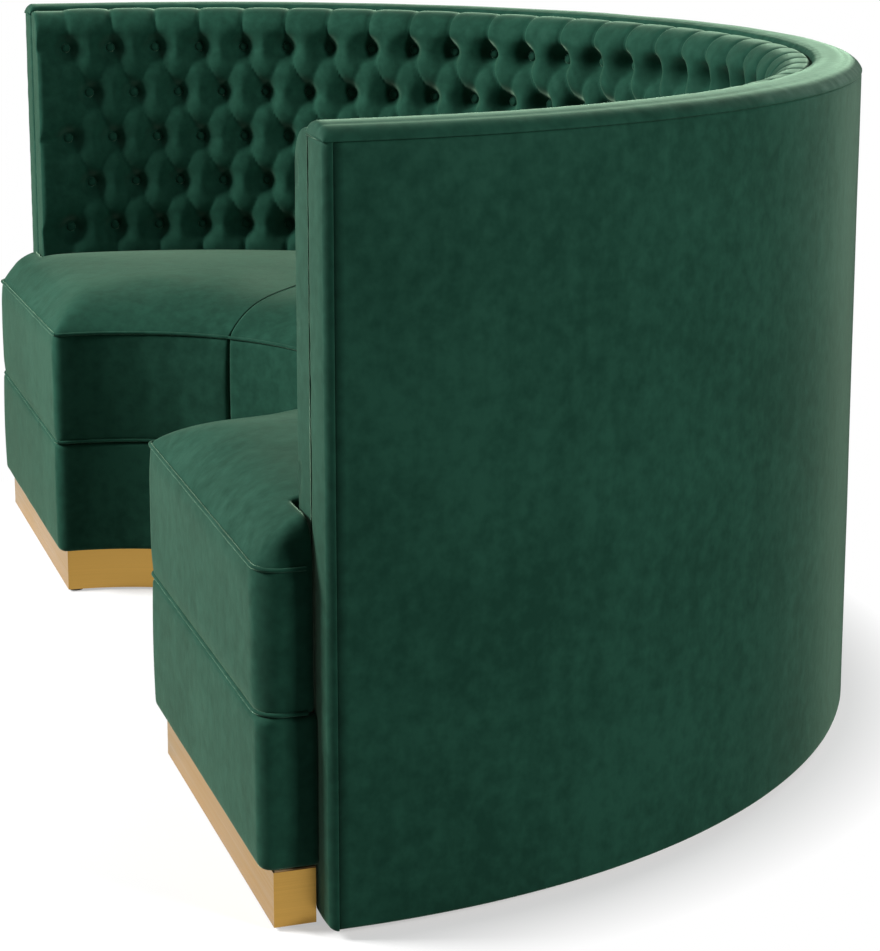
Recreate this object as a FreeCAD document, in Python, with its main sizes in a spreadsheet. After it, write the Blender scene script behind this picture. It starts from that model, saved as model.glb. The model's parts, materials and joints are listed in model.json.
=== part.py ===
import FreeCAD, Part

import math
import os

import Sketcher

# A half-round booth sofa. Plan sizes are measured from the axis of the half-round back, which stands upright.
# The seat opens towards -Y, and both seat ends lie in one plane past the ends of the back.

SIZES = (
    # back wall
    ("wall_radius", 1080.0),
    ("wall_height", 1000.0),
    ("wall_leg", 40.0),
    ("cover_thickness", 2.0),
    ("wadding_thickness", 6.0),
    ("skin_thickness", 6.0),
    ("stud_depth", 54.0),
    ("stud_width", 45.0),
    ("stud_count", 9),
    ("rail_height", 28.0),
    ("border_thickness", 12.0),
    ("rim_height", 20.0),
    ("rim_round", 8.0),
    # buttoned pad
    ("pad_depth", 64.5),
    ("pad_roll", 50.0),
    ("pad_rim_drop", 8.0),
    ("pad_end_inset", 2.0),
    ("tuft_depth", 38.0),
    ("tuft_ridge", 5.5),
    ("button_radius", 12.0),
    ("button_clearance", 1.0),
    ("button_edge", 2.5),
    ("button_dome", 5.0),
    ("button_rows", 5),
    ("button_columns", 36),
    ("button_row_pitch", 87.3),
    ("button_top_drop", 83.0),
    ("button_end_margin", 62.0),
    ("pad_end_columns", 7),
    ("pad_side_columns", 7),
    # seat base
    ("seat_front_radius", 398.0),
    ("seat_overhang", 116.0),
    ("seat_side_inset", 45.0),
    ("ear_gap", 4.0),
    ("base_top", 275.0),
    ("panel_thickness", 18.0),
    ("rail_thickness", 12.0),
    ("foam_thickness", 10.0),
    ("cloth_thickness", 1.5),
    # seat cushions
    ("cushion_height", 206.0),
    ("cushion_crown", 37.0),
    ("cushion_back_rise", 38.0),
    ("cushion_draw", 5.0),
    ("cushion_clearance", 4.0),
    ("cushion_split_angle", 45.0),
    ("cushion_split_gap", 0.8),
    ("end_crown_run", 160.0),
    # plinth
    ("plinth_height", 77.0),
    ("plinth_inset", 18.0),
    ("plinth_side_inset", 4.0),
    ("plinth_board", 28.0),
    ("brass_thickness", 1.5),
    ("brass_floor_gap", 4.0),
    ("brass_top_gap", 1.0),
    # fixings
    ("floor_gap", 10.0),
    ("glide_radius", 13.0),
    ("glide_nail_radius", 1.5),
    ("glide_nail_length", 14.0),
    ("wall_glide_count", 7),
    ("plinth_glide_count", 3),
    ("screw_radius", 4.0),
    ("screw_length", 60.0),
    ("screw_head_radius", 7.5),
    ("screw_head_height", 5.0),
    ("screw_level", 175.0),
    ("fit_gap", 0.3),
)

X_AXIS = FreeCAD.Vector(1, 0, 0)
Y_AXIS = FreeCAD.Vector(0, 1, 0)
Z_AXIS = FreeCAD.Vector(0, 0, 1)
ORIGIN = FreeCAD.Vector(0, 0, 0)
HALF_TURN = 180.0

# the end of a cushion gains this share of its crown in the first third of the run up
EARLY_RISE = 0.6


class Size:
    """A length with its number and the sheet expression that gives it."""

    def __init__(self, value, text):
        self.value = value
        self.text = text

    def __add__(self, other):
        return Size(self.value + other.value, f"({self.text} + {other.text})")

    def __sub__(self, other):
        return Size(self.value - other.value, f"({self.text} - {other.text})")

    def __neg__(self):
        return Size(-self.value, f"(-{self.text})")

    def half(self):
        return Size(self.value / 2, f"({self.text} / 2)")

    def across(self, offset):
        """Half the width of a circle of this radius at an offset from its centre."""
        return Size(math.sqrt(self.value**2 - offset.value**2), f"sqrt({self.text}^2 - {offset.text}^2)")


doc = FreeCAD.newDocument("booth_sofa")
sheet = doc.addObject("Spreadsheet::Sheet", "Sizes")
for row, (alias, amount) in enumerate(SIZES, start=1):
    sheet.set(f"A{row}", alias)
    sheet.set(f"B{row}", str(amount))
    sheet.setAlias(f"B{row}", alias)
doc.recompute()

size = {alias: Size(float(amount), f"Sizes.{alias}") for alias, amount in SIZES}
ZERO = Size(0.0, "0")
fit = size["fit_gap"]

# the bounding box's centre is the origin in plan, so every piece moves back by this much
arc_shift = (size["wall_radius"] - size["seat_overhang"]).half()

# the wall curves about the axis, and the seat's front about a point on the line between the seat's two ends
front_shift = size["seat_overhang"]
front_centre = FreeCAD.Vector(0, -front_shift.value, 0)

# layers of the back wall, from the outside inwards
cover_inner = size["wall_radius"] - size["cover_thickness"]
wadding_outer = cover_inner - fit
wadding_inner = wadding_outer - size["wadding_thickness"]
outer_skin_outer = wadding_inner - fit
outer_skin_inner = outer_skin_outer - size["skin_thickness"]
stud_outer = outer_skin_inner - fit
stud_inner = stud_outer - size["stud_depth"]
inner_skin_outer = stud_inner - fit
inner_skin_inner = inner_skin_outer - size["skin_thickness"]
pad_back = inner_skin_inner - fit
pad_front = pad_back - size["pad_depth"]
button_seat = pad_front + size["tuft_depth"]

# levels and end planes of the back wall
wall_top = size["wall_height"] - size["rim_height"]
wall_end = size["wall_leg"] - size["border_thickness"]
pad_end = size["wall_leg"] - size["pad_end_inset"]
pad_top = size["wall_height"] - size["pad_rim_drop"]
rail_top = size["floor_gap"] + size["rail_height"]
top_rail_bottom = wall_top - size["rail_height"]

# layers of the seat base, from its velvet inwards
seat_side = size["wall_radius"] - size["seat_side_inset"]
foam_front = size["seat_front_radius"] + size["cover_thickness"] + fit
foam_end = size["seat_overhang"] - size["cover_thickness"] - fit
foam_side = seat_side - size["cover_thickness"] - fit
carcass_front = foam_front + size["foam_thickness"] + fit
carcass_end = foam_end - size["foam_thickness"] - fit
carcass_side = foam_side - size["foam_thickness"] - fit
carcass_back = inner_skin_inner - fit
front_rail_back = carcass_front + size["rail_thickness"]
back_rail_front = carcass_back - size["rail_thickness"]
end_panel_back = carcass_end - size["panel_thickness"]
ear_back = size["wall_leg"] + size["ear_gap"]

# levels of the seat base
panel_top = size["plinth_height"] + size["panel_thickness"]
cloth_top = size["base_top"] - fit
deck_top = cloth_top - size["cloth_thickness"]
deck_bottom = deck_top - size["panel_thickness"]
cushion_bottom = size["base_top"] + fit
cushion_back = pad_front - size["cushion_clearance"]

# layers of the plinth
brass_front = size["seat_front_radius"] + size["plinth_inset"]
brass_end = size["seat_overhang"] - size["plinth_inset"]
brass_side = seat_side - size["plinth_side_inset"]
brass_front_back = brass_front + size["brass_thickness"]
brass_end_back = brass_end - size["brass_thickness"]
brass_side_back = brass_side - size["brass_thickness"]
board_front = brass_front_back + fit
board_end = brass_end_back - fit
board_side = brass_side_back - fit
front_board_back = board_front + size["plinth_board"]
back_board_back = back_rail_front - fit
back_board_front = back_board_back - size["plinth_board"]
end_board_back = board_end - size["plinth_board"]
brass_top = size["plinth_height"] - size["brass_top_gap"]

sub_parts = []


def number(alias):
    """A driving size in millimetres."""
    return size[alias].value


def count(alias):
    """A driving number of copies."""
    return int(size[alias].value)


def finish(piece, label):
    """Name a sub-part and move it to the sofa's frame."""
    piece.Label = label
    piece.Placement.Base.y -= arc_shift.value
    sub_parts.append(piece)
    return piece


def shape_part(label, shape):
    """A sub-part whose form comes from a swept or patterned solid."""
    piece = doc.addObject("Part::Feature", label)
    piece.Shape = shape
    piece.Placement = FreeCAD.Placement()
    return finish(piece, label)


def box_part(label, corner, extent):
    """A straight board given by its lowest corner and its three sizes."""
    piece = doc.addObject("Part::Box", label)
    for axis, offset in zip("xyz", corner):
        piece.setExpression(f"Placement.Base.{axis}", offset.text)
    for name, length in zip(("Length", "Width", "Height"), extent):
        piece.setExpression(name, length.text)
    piece.Label = label
    sub_parts.append(piece)
    return piece


def pin_to_axes(sketch, geometry, end, point, on_arc):
    """Tie one corner of an outline to the sketch's axes by the sheet's sizes."""
    for name, axis, coordinate in (("DistanceX", -2, point[0]), ("DistanceY", -1, point[1])):
        if coordinate.value == 0:
            sketch.addConstraint(Sketcher.Constraint("PointOnObject", geometry, end, axis))
            continue
        if on_arc and name == "DistanceX":
            continue
        if coordinate.value > 0:
            index = sketch.addConstraint(Sketcher.Constraint(name, -1, 1, geometry, end, coordinate.value))
            sketch.setExpression(f"Constraints[{index}]", coordinate.text)
        else:
            opposite = -coordinate
            index = sketch.addConstraint(Sketcher.Constraint(name, geometry, end, -1, 1, opposite.value))
            sketch.setExpression(f"Constraints[{index}]", opposite.text)


def outline_sketch(body, name, level, corners):
    """A closed plan outline. Each corner holds x, y and the way on: a line, an arc about the axis
    (ccw or cw), or an arc about the centre of the seat's front (front_ccw or front_cw)."""
    sketch = body.newObject("Sketcher::SketchObject", name)
    plane = next(item for item in body.Origin.OriginFeatures if item.Role == "XY_Plane")
    sketch.AttachmentSupport = (plane, [""])
    sketch.MapMode = "FlatFace"
    sketch.setExpression("AttachmentOffset.Base.z", level.text)
    ends = []
    for index, (x, y, link) in enumerate(corners):
        next_x, next_y, _ = corners[(index + 1) % len(corners)]
        first = FreeCAD.Vector(x.value, y.value, 0)
        second = FreeCAD.Vector(next_x.value, next_y.value, 0)
        if link == "line":
            geometry = sketch.addGeometry(Part.LineSegment(first, second))
            ends.append((geometry, 1, 2))
            continue
        at_front = link.startswith("front")
        turns_left = link.endswith("ccw")
        centre = front_centre if at_front else ORIGIN
        start, stop = (first - centre, second - centre) if turns_left else (second - centre, first - centre)
        circle = Part.Circle(centre, Z_AXIS, start.Length)
        start_angle = math.atan2(start.y, start.x)
        stop_angle = math.atan2(stop.y, stop.x)
        geometry = sketch.addGeometry(Part.ArcOfCircle(circle, start_angle, stop_angle))
        if at_front:
            pin_to_axes(sketch, geometry, 3, (ZERO, -front_shift), False)
        else:
            sketch.addConstraint(Sketcher.Constraint("Coincident", geometry, 3, -1, 1))
        ends.append((geometry, 1, 2) if turns_left else (geometry, 2, 1))
    for index, (geometry, start, end) in enumerate(ends):
        next_geometry, next_start, _ = ends[(index + 1) % len(ends)]
        sketch.addConstraint(Sketcher.Constraint("Coincident", geometry, end, next_geometry, next_start))
    for index, (x, y, _) in enumerate(corners):
        geometry, start, _ = ends[index]
        closes_arc = corners[index - 1][2] != "line"
        pin_to_axes(sketch, geometry, start, (x, y), closes_arc)
    return sketch


def plan_part(label, corners, bottom, top):
    """A piece cut to a plan outline and standing between two levels."""
    body = doc.addObject("PartDesign::Body", label)
    sketch = outline_sketch(body, f"{label}_outline", bottom, corners)
    pad = body.newObject("PartDesign::Pad", f"{label}_pad")
    pad.Profile = sketch
    pad.setExpression("Length", (top - bottom).text)
    body.Label = label
    body.setExpression("Placement.Base.y", (-arc_shift).text)
    sub_parts.append(body)
    return body


def horseshoe(outer, inner, end):
    """Outline of a half-round band with two straight legs that reach past the axis by end."""
    return (
        (outer, ZERO, "ccw"),
        (-outer, ZERO, "line"),
        (-outer, -end, "line"),
        (-inner, -end, "line"),
        (-inner, ZERO, "cw"),
        (inner, ZERO, "line"),
        (inner, -end, "line"),
        (outer, -end, "line"),
    )


def front_band(outer, inner, end):
    """Outline of a band along the seat's curved front, between its two ends."""
    outer_tip = outer.across(front_shift - end)
    inner_tip = inner.across(front_shift - end)
    return (
        (outer_tip, -end, "front_ccw"),
        (-outer_tip, -end, "line"),
        (-inner_tip, -end, "front_cw"),
        (inner_tip, -end, "line"),
    )


def seat_floor(front, back, end):
    """Outline of a sheet between the seat's curved front and the curve of the wall."""
    tip = front.across(front_shift - end)
    return (
        (back, ZERO, "ccw"),
        (-back, ZERO, "line"),
        (-back, -end, "line"),
        (-tip, -end, "front_cw"),
        (tip, -end, "line"),
        (back, -end, "line"),
    )


def seat_outline(front, side, back, end, ear):
    """Outline of the horseshoe seat, whose ends widen past the back wall by two ears."""
    tip = front.across(front_shift - end)
    return (
        (back, ZERO, "ccw"),
        (-back, ZERO, "line"),
        (-back, -ear, "line"),
        (-side, -ear, "line"),
        (-side, -end, "line"),
        (-tip, -end, "front_cw"),
        (tip, -end, "line"),
        (side, -end, "line"),
        (side, -ear, "line"),
        (back, -ear, "line"),
    )


def wrap_outline(front, side, end, ear, thickness):
    """Outline of a layer that wraps the seat's side, end, curved front, other end and other side."""
    deep_side = side - thickness
    deep_end = end - thickness
    tip = front.across(front_shift - end)
    deep_tip = (front + thickness).across(front_shift - deep_end)
    return (
        (tip, -end, "front_ccw"),
        (-tip, -end, "line"),
        (-side, -end, "line"),
        (-side, -ear, "line"),
        (-deep_side, -ear, "line"),
        (-deep_side, -deep_end, "line"),
        (-deep_tip, -deep_end, "front_cw"),
        (deep_tip, -deep_end, "line"),
        (deep_side, -deep_end, "line"),
        (deep_side, -ear, "line"),
        (side, -ear, "line"),
        (side, -end, "line"),
    )


def turned(shape, degrees):
    """A copy of a shape turned about the sofa's upright axis."""
    copy = shape.copy()
    copy.rotate(ORIGIN, Z_AXIS, degrees)
    return copy


def mirrored(shape):
    """The same shape on the sofa's other side."""
    return shape.mirror(ORIGIN, X_AXIS)


def section_face(points):
    """A face in the XZ plane. A point given as a pair of pairs is an arc's middle and end."""
    edges = []
    start = points[0]
    first = start
    for point in points[1:] + (first,):
        if isinstance(point[0], tuple):
            middle, end = point
            edges.append(Part.Arc(upright(start), upright(middle), upright(end)).toShape())
            start = end
        else:
            edges.append(Part.makeLine(upright(start), upright(point)))
            start = point
    return Part.Face(Part.Wire(edges))


def upright(point):
    """A point of a section, given by its distance from the axis and its level."""
    return FreeCAD.Vector(point[0], 0, point[1])


# back wall

def build_wall():
    """Timber frame, skins, wadding and velvet of the curved back."""
    plan_part("wall_bottom_rail", horseshoe(stud_outer, stud_inner, wall_end),
              size["floor_gap"], rail_top)
    plan_part("wall_top_rail", horseshoe(stud_outer, stud_inner, wall_end), top_rail_bottom, wall_top)
    plan_part("wall_inner_skin", horseshoe(inner_skin_outer, inner_skin_inner, wall_end),
              size["floor_gap"], wall_top)
    plan_part("wall_outer_skin", horseshoe(outer_skin_outer, outer_skin_inner, wall_end),
              size["floor_gap"], wall_top)
    plan_part("outer_wadding", horseshoe(wadding_outer, wadding_inner, wall_end),
              size["floor_gap"], wall_top)
    plan_part("outer_back_cover", horseshoe(size["wall_radius"], cover_inner, wall_end),
              size["floor_gap"], wall_top)


def build_wall_ends():
    """Posts in the legs of the wall and the padded bands that close its ends."""
    post_extent = (size["stud_depth"] - fit - fit, wall_end, top_rail_bottom - rail_top)
    post_y = -wall_end - arc_shift
    box_part("wall_end_post_right", (stud_inner + fit, post_y, rail_top), post_extent)
    box_part("wall_end_post_left", (fit - stud_outer, post_y, rail_top), post_extent)
    band_width = size["wall_radius"] - inner_skin_inner
    band_extent = (band_width, size["border_thickness"], wall_top - size["floor_gap"])
    band_y = -size["wall_leg"] - arc_shift
    box_part("end_border_right", (inner_skin_inner, band_y, size["floor_gap"]), band_extent)
    box_part("end_border_left", (-size["wall_radius"], band_y, size["floor_gap"]), band_extent)


def build_top_border():
    """Padded band along the top of the wall, with its upper edges rounded."""
    body = plan_part("top_border", horseshoe(size["wall_radius"], inner_skin_inner, size["wall_leg"]),
                     wall_top, size["wall_height"])
    doc.recompute()
    pad = body.Tip
    top_level = number("wall_height")
    top_edges = []
    for index, edge in enumerate(pad.Shape.Edges, start=1):
        if edge.BoundBox.ZMin > top_level - number("fit_gap"):
            top_edges.append(f"Edge{index}")
    rounding = body.newObject("PartDesign::Fillet", "top_border_round")
    rounding.Base = (pad, top_edges)
    rounding.setExpression("Radius", size["rim_round"].text)


def stud_angles():
    """Angles of the studs, evenly spaced round the arc."""
    pitch = HALF_TURN / count("stud_count")
    return [pitch * (index + 0.5) for index in range(count("stud_count"))]


def build_studs():
    """Upright studs between the rails, each shaped to the wall's curve."""
    height = top_rail_bottom.value - rail_top.value
    half_width = number("stud_width") / 2
    corner = FreeCAD.Vector(0, -half_width, rail_top.value)
    block = Part.makeBox(number("wall_radius"), number("stud_width"), height, corner)
    ring = Part.makeCylinder(stud_outer.value, height, FreeCAD.Vector(0, 0, rail_top.value))
    ring = ring.cut(Part.makeCylinder(stud_inner.value, height, FreeCAD.Vector(0, 0, rail_top.value)))
    stud = block.common(ring)
    shape_part("wall_studs", Part.makeCompound([turned(stud, angle) for angle in stud_angles()]))


# buttoned back

def button_columns():
    """Distance along the pad of the first column of buttons, and the pitch of the columns."""
    first = number("button_end_margin") - number("wall_leg")
    pitch = (math.pi * button_seat.value - 2 * first) / (count("button_columns") - 1)
    return first, pitch


def button_places():
    """Distance along the pad and level of each button, in rows that step by half a pitch."""
    first, pitch = button_columns()
    top = number("wall_height") - number("button_top_drop")
    places = []
    for row in range(count("button_rows")):
        stagger = row % 2
        for column in range(count("button_columns") - stagger):
            distance = first + pitch * (column + stagger / 2)
            places.append((distance, top - row * number("button_row_pitch")))
    return places


def along_pad(shape, distance, level):
    """A copy of a shape made at the start of the arc, moved along the buttoned pad and up."""
    length = math.pi * button_seat.value
    on_arc = min(max(distance, 0.0), length)
    copy = turned(shape, math.degrees(on_arc / button_seat.value))
    straight = min(distance, 0.0) + min(length - distance, 0.0)
    copy.translate(FreeCAD.Vector(0, straight, level))
    return copy


def tuft_tool():
    """The hollow round one button: a cone from the button's seat to the face of the pad."""
    _, pitch = button_columns()
    front_pitch = pitch * pad_front.value / button_seat.value
    diagonal = math.hypot(front_pitch / 2, number("button_row_pitch"))
    mouth = (min(front_pitch, diagonal) - number("tuft_ridge")) / 2
    floor = number("button_radius") + number("button_clearance")
    slope = (mouth - floor) / number("tuft_depth")
    over = number("button_clearance")
    seat = FreeCAD.Vector(button_seat.value, 0, 0)
    return Part.makeCone(floor, mouth + slope * over, number("tuft_depth") + over, seat, -X_AXIS)


def button_solid():
    """A covered button at the start of the arc: a short round edge under a low dome, facing the axis."""
    radius = number("button_radius")
    dome = number("button_dome")
    height = number("button_edge") + dome
    ball_radius = (radius * radius + dome * dome) / (2 * dome)
    edge = Part.makeCylinder(radius, height)
    ball = Part.makeSphere(ball_radius, FreeCAD.Vector(0, 0, height - ball_radius))
    button = edge.common(ball)
    button.rotate(ORIGIN, Y_AXIS, -HALF_TURN / 2)
    button.translate(FreeCAD.Vector(button_seat.value, 0, 0))
    return button


def pad_section():
    """Section across the pad, with its rolled top."""
    bottom = cushion_bottom.value
    top = pad_top.value
    front = pad_front.value
    roll = number("pad_roll")
    bend = roll * (1 - math.sqrt(0.5))
    return section_face((
        (pad_back.value, bottom),
        (pad_back.value, top),
        (front + roll, top),
        ((front + bend, top - bend), (front, top - roll)),
        (front, bottom),
    ))


def pad_joint(columns):
    """Angle of a joint across the pad, a quarter of a pitch past so many columns of buttons."""
    first, pitch = button_columns()
    return math.degrees((first + pitch * (columns + 0.25)) / button_seat.value)


def pad_length(start, stop, with_leg):
    """One length of the pad between two angles, hollowed round the buttons on it and beside it."""
    _, pitch = button_columns()
    length = turned(pad_section().revolve(ORIGIN, Z_AXIS, stop - start), start)
    if with_leg:
        length = length.fuse(pad_section().extrude(-Y_AXIS * pad_end.value)).removeSplitter()
    lowest = math.radians(start) * button_seat.value - pitch
    highest = math.radians(stop) * button_seat.value + pitch
    tuft = tuft_tool()
    hollows = []
    for distance, level in button_places():
        if lowest < distance < highest:
            hollows.append(along_pad(tuft, distance, level))
    return length.cut(hollows)


def build_back_pad():
    """The buttoned pad in five lengths that meet in the folds, and its covered buttons."""
    half_gap = math.degrees(number("fit_gap") / 2 / pad_front.value)
    end_joint = pad_joint(count("pad_end_columns"))
    side_joint = pad_joint(count("pad_end_columns") + count("pad_side_columns"))
    end_length = pad_length(0.0, end_joint - half_gap, True)
    side_length = pad_length(end_joint + half_gap, side_joint - half_gap, False)
    middle_start = side_joint + half_gap
    shape_part("tufted_pad_end_right", end_length)
    shape_part("tufted_pad_side_right", side_length)
    shape_part("tufted_pad_centre", pad_length(middle_start, HALF_TURN - middle_start, False))
    shape_part("tufted_pad_side_left", mirrored(side_length))
    shape_part("tufted_pad_end_left", mirrored(end_length))
    button = button_solid()
    buttons = [along_pad(button, distance, level) for distance, level in button_places()]
    shape_part("back_buttons", Part.makeCompound(buttons))


# seat base

def build_base():
    """Plywood carcass of the seat with its padding, velvet and linings."""
    panel = seat_outline(carcass_front, carcass_side, carcass_back, carcass_end, ear_back)
    plan_part("base_bottom_panel", panel, size["plinth_height"], panel_top)
    plan_part("seat_deck", panel, deck_bottom, deck_top)
    plan_part("deck_cloth", panel, deck_top, cloth_top)
    plan_part("base_front_rail", front_band(front_rail_back, carcass_front, end_panel_back),
              panel_top, deck_bottom)
    plan_part("base_back_rail", horseshoe(carcass_back, back_rail_front, end_panel_back),
              panel_top, deck_bottom)
    plan_part("base_foam", wrap_outline(foam_front, foam_side, foam_end, ear_back, size["foam_thickness"]),
              size["plinth_height"], cloth_top)
    plan_part("base_cover", wrap_outline(size["seat_front_radius"], seat_side, size["seat_overhang"],
                                         ear_back, size["cover_thickness"]),
              size["plinth_height"], size["base_top"])
    rail_extent = deck_bottom - panel_top
    end_extent = (carcass_side - carcass_front, size["panel_thickness"], rail_extent)
    end_y = -carcass_end - arc_shift
    box_part("base_end_panel_right", (carcass_front, end_y, panel_top), end_extent)
    box_part("base_end_panel_left", (-carcass_side, end_y, panel_top), end_extent)
    block_extent = (carcass_side - carcass_back - fit, end_panel_back - ear_back, rail_extent)
    block_y = -end_panel_back - arc_shift
    box_part("base_side_block_right", (carcass_back + fit, block_y, panel_top), block_extent)
    box_part("base_side_block_left", (-carcass_side, block_y, panel_top), block_extent)


def build_ribs():
    """Upright ribs that carry the deck, halfway between the wall's studs, cut to the curve of the front rail."""
    start = front_rail_back.value - front_shift.value
    length = back_rail_front.value - number("fit_gap") - start
    thickness = number("panel_thickness")
    height = deck_bottom.value - panel_top.value
    rib = Part.makeBox(length, thickness, height, FreeCAD.Vector(start, -thickness / 2, panel_top.value))
    opening = Part.makeCylinder(front_rail_back.value + number("fit_gap"), number("wall_height"), front_centre)
    pitch = HALF_TURN / count("stud_count")
    ribs = [turned(rib, pitch * index).cut(opening) for index in range(1, count("stud_count"))]
    shape_part("base_ribs", Part.makeCompound(ribs))


def build_wall_screws():
    """Coach screws from inside the base, through its back rail and the wall's skin into the studs."""
    start = FreeCAD.Vector(back_rail_front.value, 0, number("screw_level"))
    head = Part.makeCylinder(number("screw_head_radius"), number("screw_head_height"), start, -X_AXIS)
    shank = Part.makeCylinder(number("screw_radius"), number("screw_length"), start, X_AXIS)
    screw = head.fuse(shank).removeSplitter()
    shape_part("wall_coach_screws", Part.makeCompound([turned(screw, angle) for angle in stud_angles()]))


# seat cushions

def cushion_section(inset, with_ear):
    """Crowned section across a cushion, its seams drawn in, set in from the velvet's face by inset."""
    front = number("seat_front_radius") + inset
    back = cushion_back.value - inset
    side = seat_side.value - inset
    low = cushion_bottom.value
    seam = size["base_top"].value + number("cushion_height") - inset
    middle = (low + seam) / 2
    draw = number("cushion_draw")
    crown = ((front + back) / 2, seam + number("cushion_crown"))
    back_top = (back, seam + number("cushion_back_rise"))
    reach = back + front_shift.value
    points = (
        (front + draw, low),
        ((front, middle), (front + draw, seam)),
        (crown, back_top),
    )
    if with_ear:
        points += (
            (side - draw, seam),
            ((side, middle), (side - draw, low)),
        )
    else:
        points += ((reach, seam + number("cushion_back_rise")), (reach, low))
    return section_face(points)


def end_crown(inset):
    """A block whose top falls to the seam at the seat's end and whose end face is drawn in at its seams."""
    end = number("seat_overhang") - inset
    low = cushion_bottom.value
    seam = size["base_top"].value + number("cushion_height") - inset
    middle = (low + seam) / 2
    draw = number("cushion_draw")
    run = number("end_crown_run")
    top = seam + number("cushion_crown") + draw
    far = cushion_back.value
    profile = section_face((
        (draw - end, low),
        ((-end, middle), (draw - end, seam)),
        ((draw - end + run / 3, seam + number("cushion_crown") * EARLY_RISE), (run - end, top)),
        (far, top),
        (far, low),
    ))
    profile.rotate(ORIGIN, Z_AXIS, HALF_TURN / 2)
    return profile.extrude(X_AXIS * (seat_side.value + number("cushion_draw")))


def split_clearance(inset):
    """Angle that keeps a cushion clear of the joint between two cushions."""
    return math.degrees((number("cushion_split_gap") + inset) / number("seat_front_radius"))


def cushion_room(inset):
    """The space inside the curve of the pad, and straight on to the seat's ends."""
    radius = cushion_back.value - inset
    height = number("wall_height")
    end = number("seat_overhang")
    ends = Part.makeBox(2 * radius, end, height, FreeCAD.Vector(-radius, -end, 0))
    return Part.makeCylinder(radius, height).fuse(ends)


def along_front(section, start, stop):
    """A section swept about the centre of the seat's front from one angle to another."""
    sweep = turned(section.revolve(ORIGIN, Z_AXIS, stop - start), start)
    sweep.translate(front_centre)
    return sweep


def right_cushion(inset):
    """End cushion: the first part of the seat's curve, with an ear in front of the wall."""
    stop = number("cushion_split_angle") - split_clearance(inset)
    curve = along_front(cushion_section(inset, False), 0.0, stop).common(cushion_room(inset))
    ear = cushion_section(inset, True).extrude(Y_AXIS * (number("seat_overhang") - ear_back.value - inset))
    ear.translate(front_centre)
    overlap = number("cushion_clearance")
    corner = FreeCAD.Vector(cushion_back.value - inset - overlap, -number("seat_overhang"), 0)
    beyond = Part.makeBox(seat_side.value, number("seat_overhang"), number("wall_height"), corner)
    return curve.fuse(ear.common(beyond)).common(end_crown(inset)).removeSplitter()


def centre_cushion(inset):
    """Curved cushion between the two end cushions."""
    start = number("cushion_split_angle") + split_clearance(inset)
    curve = along_front(cushion_section(inset, False), start, HALF_TURN - start)
    return curve.common(cushion_room(inset))


def build_cushion(place, make, flip):
    """Velvet cover, foam core and underside cloth of one loose cushion."""
    low = cushion_bottom.value
    reach = 2 * number("wall_radius")
    corner = FreeCAD.Vector(-reach / 2, -reach / 2, low)
    slab = Part.makeBox(reach, reach, number("cloth_thickness"), corner)
    hollow = make(number("cover_thickness"))
    core = make(number("cover_thickness") + number("fit_gap"))
    pieces = {
        "cover": make(0.0).cut(hollow),
        "foam": core.cut(slab),
        "cloth": core.common(slab),
    }
    for name, solid in pieces.items():
        shape_part(f"cushion_{name}_{place}", mirrored(solid) if flip else solid)


# plinth and fixings

def build_plinth():
    """Plinth boards, brass cladding and the cloth that closes the underside."""
    bottom = size["floor_gap"]
    top = size["plinth_height"]
    plan_part("plinth_front_board", front_band(front_board_back, board_front, end_board_back), bottom, top)
    plan_part("plinth_back_board", horseshoe(back_board_back, back_board_front, end_board_back), bottom, top)
    plan_part("plinth_brass_front", front_band(brass_front_back, brass_front, brass_end_back),
              size["brass_floor_gap"], brass_top)
    plan_part("dust_cover", seat_floor(front_board_back + fit, back_board_front - fit, end_board_back - fit),
              top - fit - size["cloth_thickness"], top - fit)

    board_extent = (board_side - board_front, size["plinth_board"], top - bottom)
    board_y = -board_end - arc_shift
    box_part("plinth_end_board_right", (board_front, board_y, bottom), board_extent)
    box_part("plinth_end_board_left", (-board_side, board_y, bottom), board_extent)
    block_extent = (size["plinth_board"], end_board_back - ear_back, top - bottom)
    block_y = -end_board_back - arc_shift
    box_part("plinth_side_block_right", (board_side - size["plinth_board"], block_y, bottom), block_extent)
    box_part("plinth_side_block_left", (-board_side, block_y, bottom), block_extent)

    brass_height = brass_top - size["brass_floor_gap"]
    strip_extent = (brass_side - brass_front, size["brass_thickness"], brass_height)
    strip_y = -brass_end - arc_shift
    box_part("plinth_brass_end_right", (brass_front, strip_y, size["brass_floor_gap"]), strip_extent)
    box_part("plinth_brass_end_left", (-brass_side, strip_y, size["brass_floor_gap"]), strip_extent)
    return_extent = (size["brass_thickness"], brass_end_back - ear_back, brass_height)
    return_y = -brass_end_back - arc_shift
    box_part("plinth_brass_side_right", (brass_side_back, return_y, size["brass_floor_gap"]), return_extent)
    box_part("plinth_brass_side_left", (-brass_side, return_y, size["brass_floor_gap"]), return_extent)


def glide_places():
    """Plan position of each glide, under the wall's rail and under the plinth's boards."""
    rings = (
        ((stud_inner.value + stud_outer.value) / 2, ORIGIN, count("wall_glide_count")),
        ((board_front.value + front_board_back.value) / 2, front_centre, count("plinth_glide_count")),
        ((back_board_front.value + back_board_back.value) / 2, ORIGIN, count("plinth_glide_count")),
    )
    places = []
    for radius, centre, copies in rings:
        pitch = math.pi / copies
        for index in range(copies):
            angle = pitch * (index + 0.5)
            places.append(centre + FreeCAD.Vector(radius * math.cos(angle), radius * math.sin(angle), 0))
    end_y = -(board_end.value + end_board_back.value) / 2
    for radius, _, _ in rings[1:]:
        places.append(FreeCAD.Vector(radius, end_y, 0))
        places.append(FreeCAD.Vector(-radius, end_y, 0))
    return places


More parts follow.
